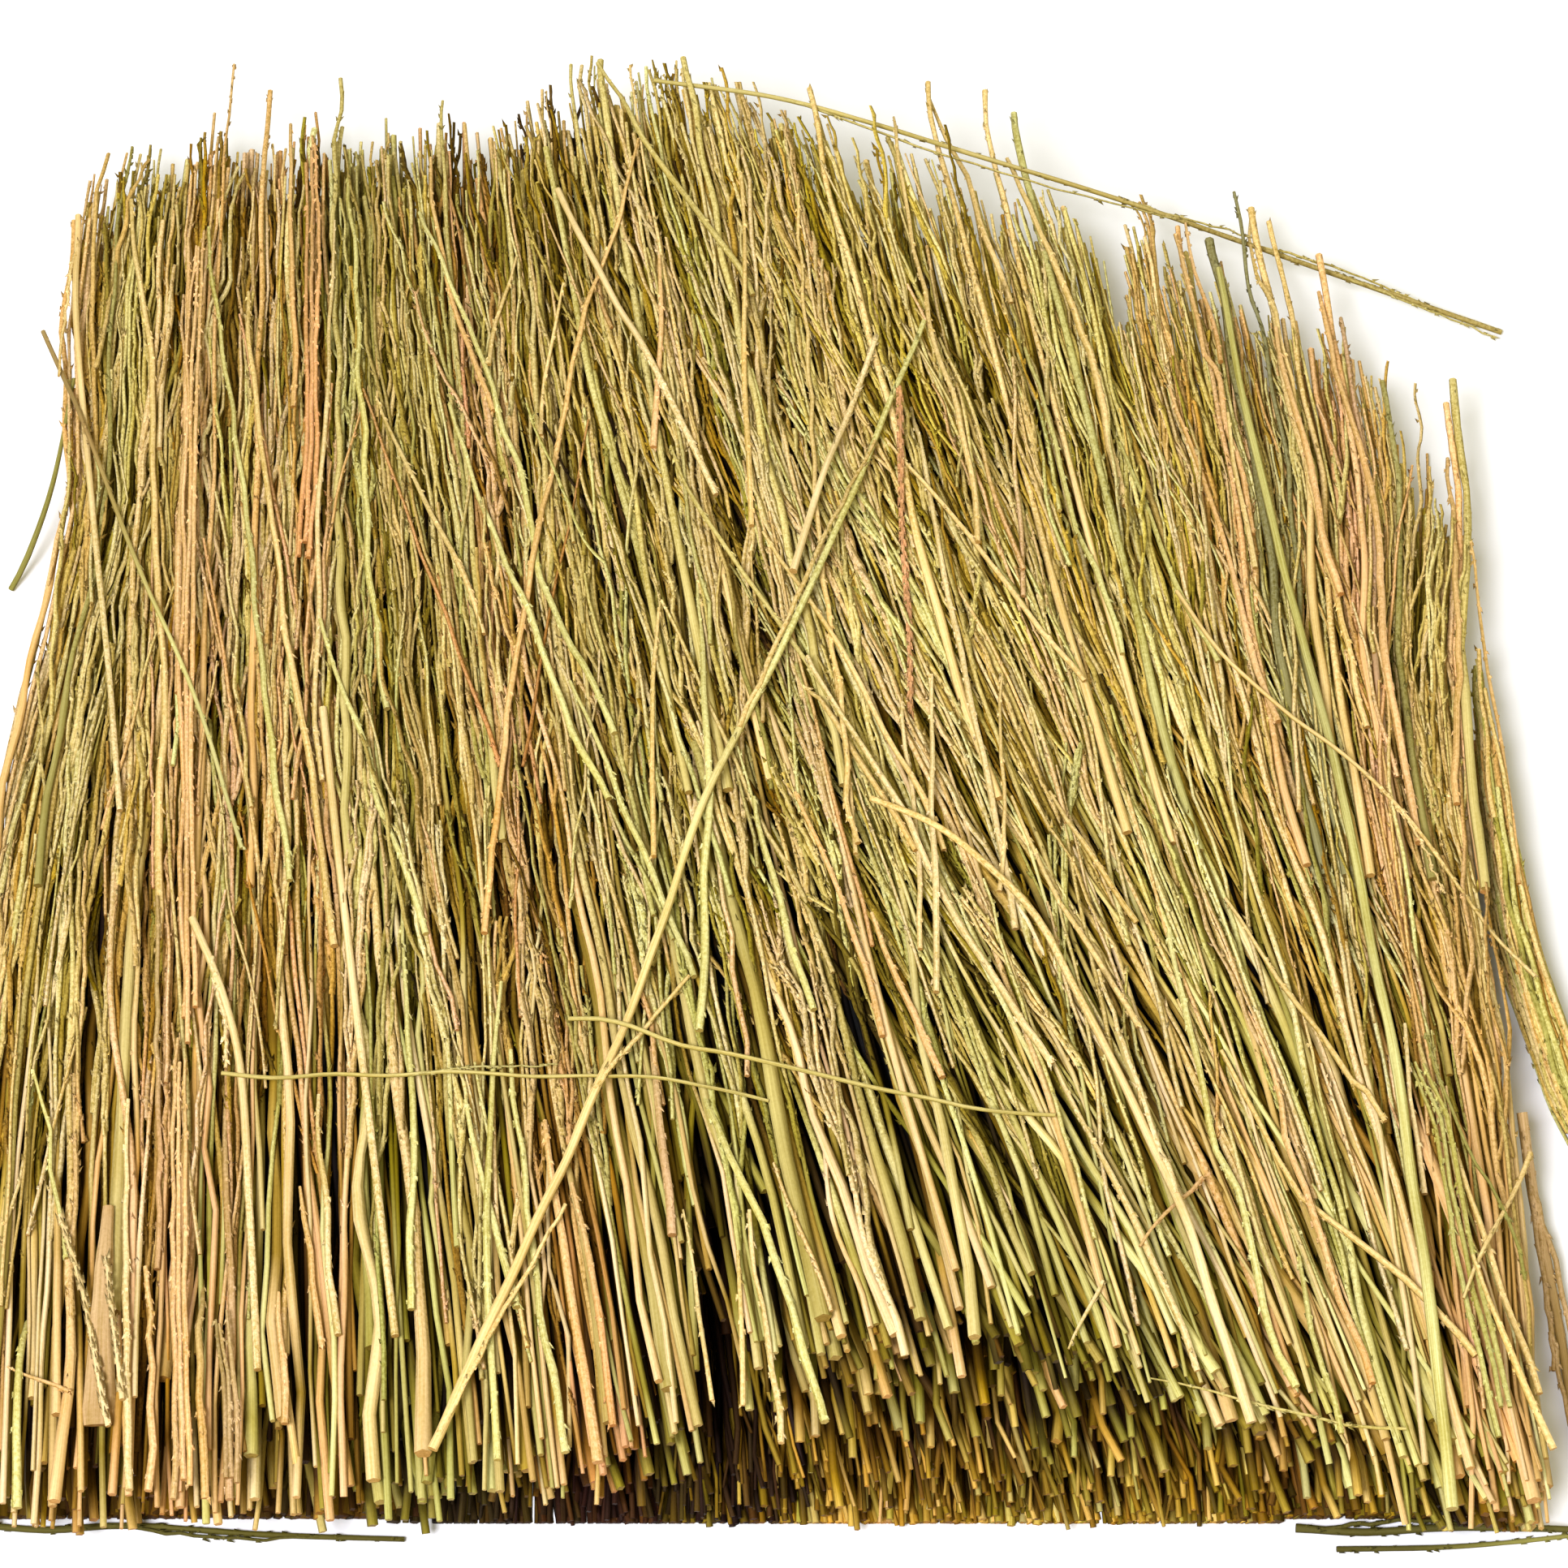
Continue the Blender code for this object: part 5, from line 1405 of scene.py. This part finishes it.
def addWalls(sheet, own, sides, caps, room):
    centre, radius = own["centre"], own["radius"]
    col, low = own["column"], own["start"]
    columns, tall = room
    count, ringCount = radius.shape
    side, rise = frameOf(unit(np.gradient(centre, axis=1)))
    angle = 2 * np.pi * np.arange(sides) / sides + walls["turn"]
    c, s = np.cos(angle), np.sin(angle)
    vertices = centre[:, :, None] + radius[:, :, None, None] * (
        own["wide"][:, :, None, None] * c[:, None] * side[:, :, None] + s[:, None] * rise[:, :, None])
    # painted light and shade: each side lighter facing up, darker facing down and to the right
    lit = np.clip(walls["middle"] + walls["up"] * s - walls["side"] * c, *walls["limits"])
    along, chance = own["along"][:, :, None], own["chance"][:, None, None]
    index = np.arange(count * ringCount * sides).reshape(count, ringCount, sides)
    after = np.roll(index, -1, 2)
    faces = np.stack([index[:, :-1], index[:, 1:], after[:, 1:], after[:, :-1]], -1)
    before, behind = (
        (col[:, None, None] + (strip["from"] + strip["share"] * (np.arange(sides) + edge) / sides)) / columns
        for edge in (0, 1)
    )
    v = ((low[:, None] + own["along"] - own["along"][:, :1]) / tall)[:, :, None]
    uv = stack(stack(before, before, behind, behind), stack(v[:, :-1], v[:, 1:], v[:, 1:], v[:, :-1]))
    tint = own["tint"][:, :, None] * lit[:, None] ** walls["power"]
    sheet.add(vertices, tint, stack(along, chance, 0.0 * c), stack(c, s, own["part"][:, :, None]), faces, uv)
    hubC, hubS = np.append(c, 0), np.append(s, 0)
    for end, wanted in zip((0, -1), caps):
        if not wanted:
            continue
        cap = np.concatenate([vertices[:, end], centre[:, end][:, None]], 1)
        index = np.arange(count * (sides + 1)).reshape(count, sides + 1)
        rim = index[:, :-1]
        hub = np.broadcast_to(index[:, -1:], rim.shape)
        faces = np.stack((hub, rim, np.roll(rim, -1, 1)) if end == 0 else (hub, np.roll(rim, -1, 1), rim), -1)
        at = low - strip["capGaps"][0] if end == 0 else low + own["length"] + strip["capGaps"][1]
        u = (col[:, None] + 0.5 + strip["capShare"] * hubC) / columns
        v = (at[:, None] + strip["capSize"] * hubS) / tall
        uv = np.stack([u, v], -1).reshape(-1, 2)[faces.reshape(-1)]
        strand = stack(own["along"][:, end][:, None], own["chance"][:, None], 1.0 + 0 * hubC)
        sheet.add(cap, own["tint"][:, end][:, None], strand, stack(hubC, hubS, 0 * hubC), faces, uv)


def addHusks(sheet, husk, own, room):
    columns, tall = room
    share = husk["share"]
    turn, opened, size, length, tone = (
        husk[name][..., None] for name in ("turn", "open", "size", "length", "tone"))
    point, thick, tint, along = (sampleAt(own[name], share) for name in ("centre", "radius", "tint", "along"))
    tangent = unit(sampleAt(np.gradient(own["centre"], axis=1), share))
    side, rise = frameOf(tangent)
    outward = np.cos(turn) * side + np.sin(turn) * rise
    axis = tangent * np.cos(opened) + outward * np.sin(opened)
    root = point + outward * (thick * scales["sunk"])[..., None]
    across = unit(np.cross(axis, outward))
    lift = np.cross(across, axis)
    corners = [root + size * (math.cos(a) * across + math.sin(a) * lift) for a in (0, 2.094, 4.189)]
    vertices = np.stack(corners + [root + axis * length], 2)
    index = np.arange(share.size * 4).reshape(share.size, 4)
    faces = np.stack([index[:, [0, 3, 1]], index[:, [1, 3, 2]], index[:, [2, 3, 0]]], 1)
    u = (own["column"][:, None] + 0.5) / columns + 0 * share
    v = (own["start"][:, None] + share * own["length"][:, None]) / tall
    half = strip["huskHalf"]
    spread = np.array([[-half, -1], [0.0, 1.0], [half, -1]])
    spread = spread * np.array([1 / columns, strip["huskTall"] / tall])
    uv = np.tile(np.stack([u, v], -1).reshape(-1, 1, 2) + spread, (1, 3, 1))
    strand = stack(along, own["chance"][:, None], 0 * along)
    sheet.add(vertices, (tint * tone)[:, :, None], strand[:, :, None], np.array([0.0, 0.0, 1.0]), faces, uv)


def makeMesh(name, sheet):
    mesh = bpy.data.meshes.new(name)
    points, loops, counts = (np.concatenate(part) for part in (sheet.points, sheet.loops, sheet.counts))
    mesh.vertices.add(len(points))
    mesh.vertices.foreach_set("co", points.astype(np.float32).ravel())
    mesh.loops.add(len(loops))
    mesh.loops.foreach_set("vertex_index", loops.astype(np.int32))
    mesh.polygons.add(len(counts))
    mesh.polygons.foreach_set("loop_start", np.concatenate([[0], counts.cumsum()[:-1]]).astype(np.int32))
    mesh.polygons.foreach_set("use_smooth", np.ones(len(counts), bool))
    uvLayer = mesh.uv_layers.new(name="OFBake")
    mesh.update(calc_edges=True)
    uvLayer.data.foreach_set("uv", np.concatenate(sheet.uvs).astype(np.float32).ravel())
    tint = np.clip(np.concatenate(sheet.tints), *walls["tint"])
    tint = np.concatenate([tint, np.ones((len(tint), 1))], 1)
    for label, kind, field, values in (
        ("tint", "FLOAT_COLOR", "color", tint),
        ("strand", "FLOAT_VECTOR", "vector", np.concatenate(sheet.strands)),
        ("ring", "FLOAT_VECTOR", "vector", np.concatenate(sheet.rings)),
    ):
        layer = mesh.attributes.new(label, kind, "POINT")
        layer.data.foreach_set(field, values.astype(np.float32).ravel())
    return mesh, int((counts - 2).sum())


def buildPiece(owner):
    name, node, slotName = owners[owner]
    rowsOf = [np.flatnonzero(batch["owner"] == owner) for batch in batches]
    lengths = np.concatenate([batch["length"][rows] for batch, rows in zip(batches, rowsOf)])
    column, start, *room = packStrips(lengths)
    sheet = Sheet()
    tubes = {}  # by batch: its tubes on this piece
    first = 0
    for batch, rows in zip(batches, rowsOf):
        if len(rows):
            own = pick(batch, rows, ("centre", "radius", "wide", "tint", "along", "length", "chance", "part"))
            last = first + len(rows)
            own.update(rows=rows, column=column[first:last], start=start[first:last])
            tubes[id(batch)] = own
            addWalls(sheet, own, batch["sides"], batch["caps"], room)
            first = last
    for husk in bumps:
        own = tubes.get(id(husk["batch"]))
        if own:
            picked = pick(husk, own["rows"], ("share", "turn", "open", "size", "length", "tone"))
            addHusks(sheet, picked, own, room)
    mesh, count = makeMesh(name, sheet)
    piece = bpy.data.objects.new(name, mesh)
    bpy.context.scene.collection.objects.link(piece)
    mesh.materials.append(materials[slotName])
    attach(piece, "root")
    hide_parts(node)
    return count


triangles = [buildPiece(owner) for owner in range(len(owners))]
print("triangles", sum(triangles), "largest", max(triangles))

# floor, light and camera
stage = {
    "half": 4, "colour": (0.93, 0.94, 0.98, 1), "rough": 0.9,
    "lens": 100, "sensor": 36, "cameraAt": (0, -0.5639, 0.8132), "tilt": 35,
}
floorMesh = bpy.data.meshes.new("floor")
corners = [(x * stage["half"], y * stage["half"], 0) for x, y in ((-1, -1), (1, -1), (1, 1), (-1, 1))]
floorMesh.from_pydata(corners, [], [(0, 1, 2, 3)])
floor = bpy.data.objects.new("floor", floorMesh)
bpy.context.scene.collection.objects.link(floor)
floorMaterial = bpy.data.materials.new("paleFloor")
floorMaterial.use_nodes = True
floorShader = next(node for node in floorMaterial.node_tree.nodes if node.type == "BSDF_PRINCIPLED")
floorShader.inputs["Base Color"].default_value = stage["colour"]
floorShader.inputs["Roughness"].default_value = stage["rough"]
floorMesh.materials.append(floorMaterial)

studio = {
    "key": 23.8, "keyAt": (-0.30, -0.80, 1.20), "keySize": 0.40, "keyColour": (1.0, 1.0, 1.08),
    "fill": 0.64, "fillColour": (1, 0.94, 0.66, 1),
}
keyData = bpy.data.lights.new("key", "AREA")
keyData.shape = "DISK"
keyData.size = studio["keySize"]
keyData.energy = studio["key"]
keyData.color = studio["keyColour"]
key = bpy.data.objects.new("key", keyData)
key.location = studio["keyAt"]
key.rotation_mode = "QUATERNION"
key.rotation_quaternion = (-key.location).to_track_quat("-Z", "Y")
bpy.context.scene.collection.objects.link(key)
world = bpy.data.worlds.new("studio")
world.use_nodes = True
backdrop = next(node for node in world.node_tree.nodes if node.type == "BACKGROUND")
backdrop.inputs["Color"].default_value = studio["fillColour"]
backdrop.inputs["Strength"].default_value = studio["fill"]
bpy.context.scene.world = world
cameraData = bpy.data.cameras.new("camera")
cameraData.lens = stage["lens"]
cameraData.sensor_width = stage["sensor"]
camera = bpy.data.objects.new("camera", cameraData)
camera.location = stage["cameraAt"]
camera.rotation_euler = (math.radians(stage["tilt"]), 0, 0)
bpy.context.scene.collection.objects.link(camera)
bpy.context.scene.camera = camera
bpy.context.scene.view_settings.view_transform = "Standard"
print("stage and camera set")
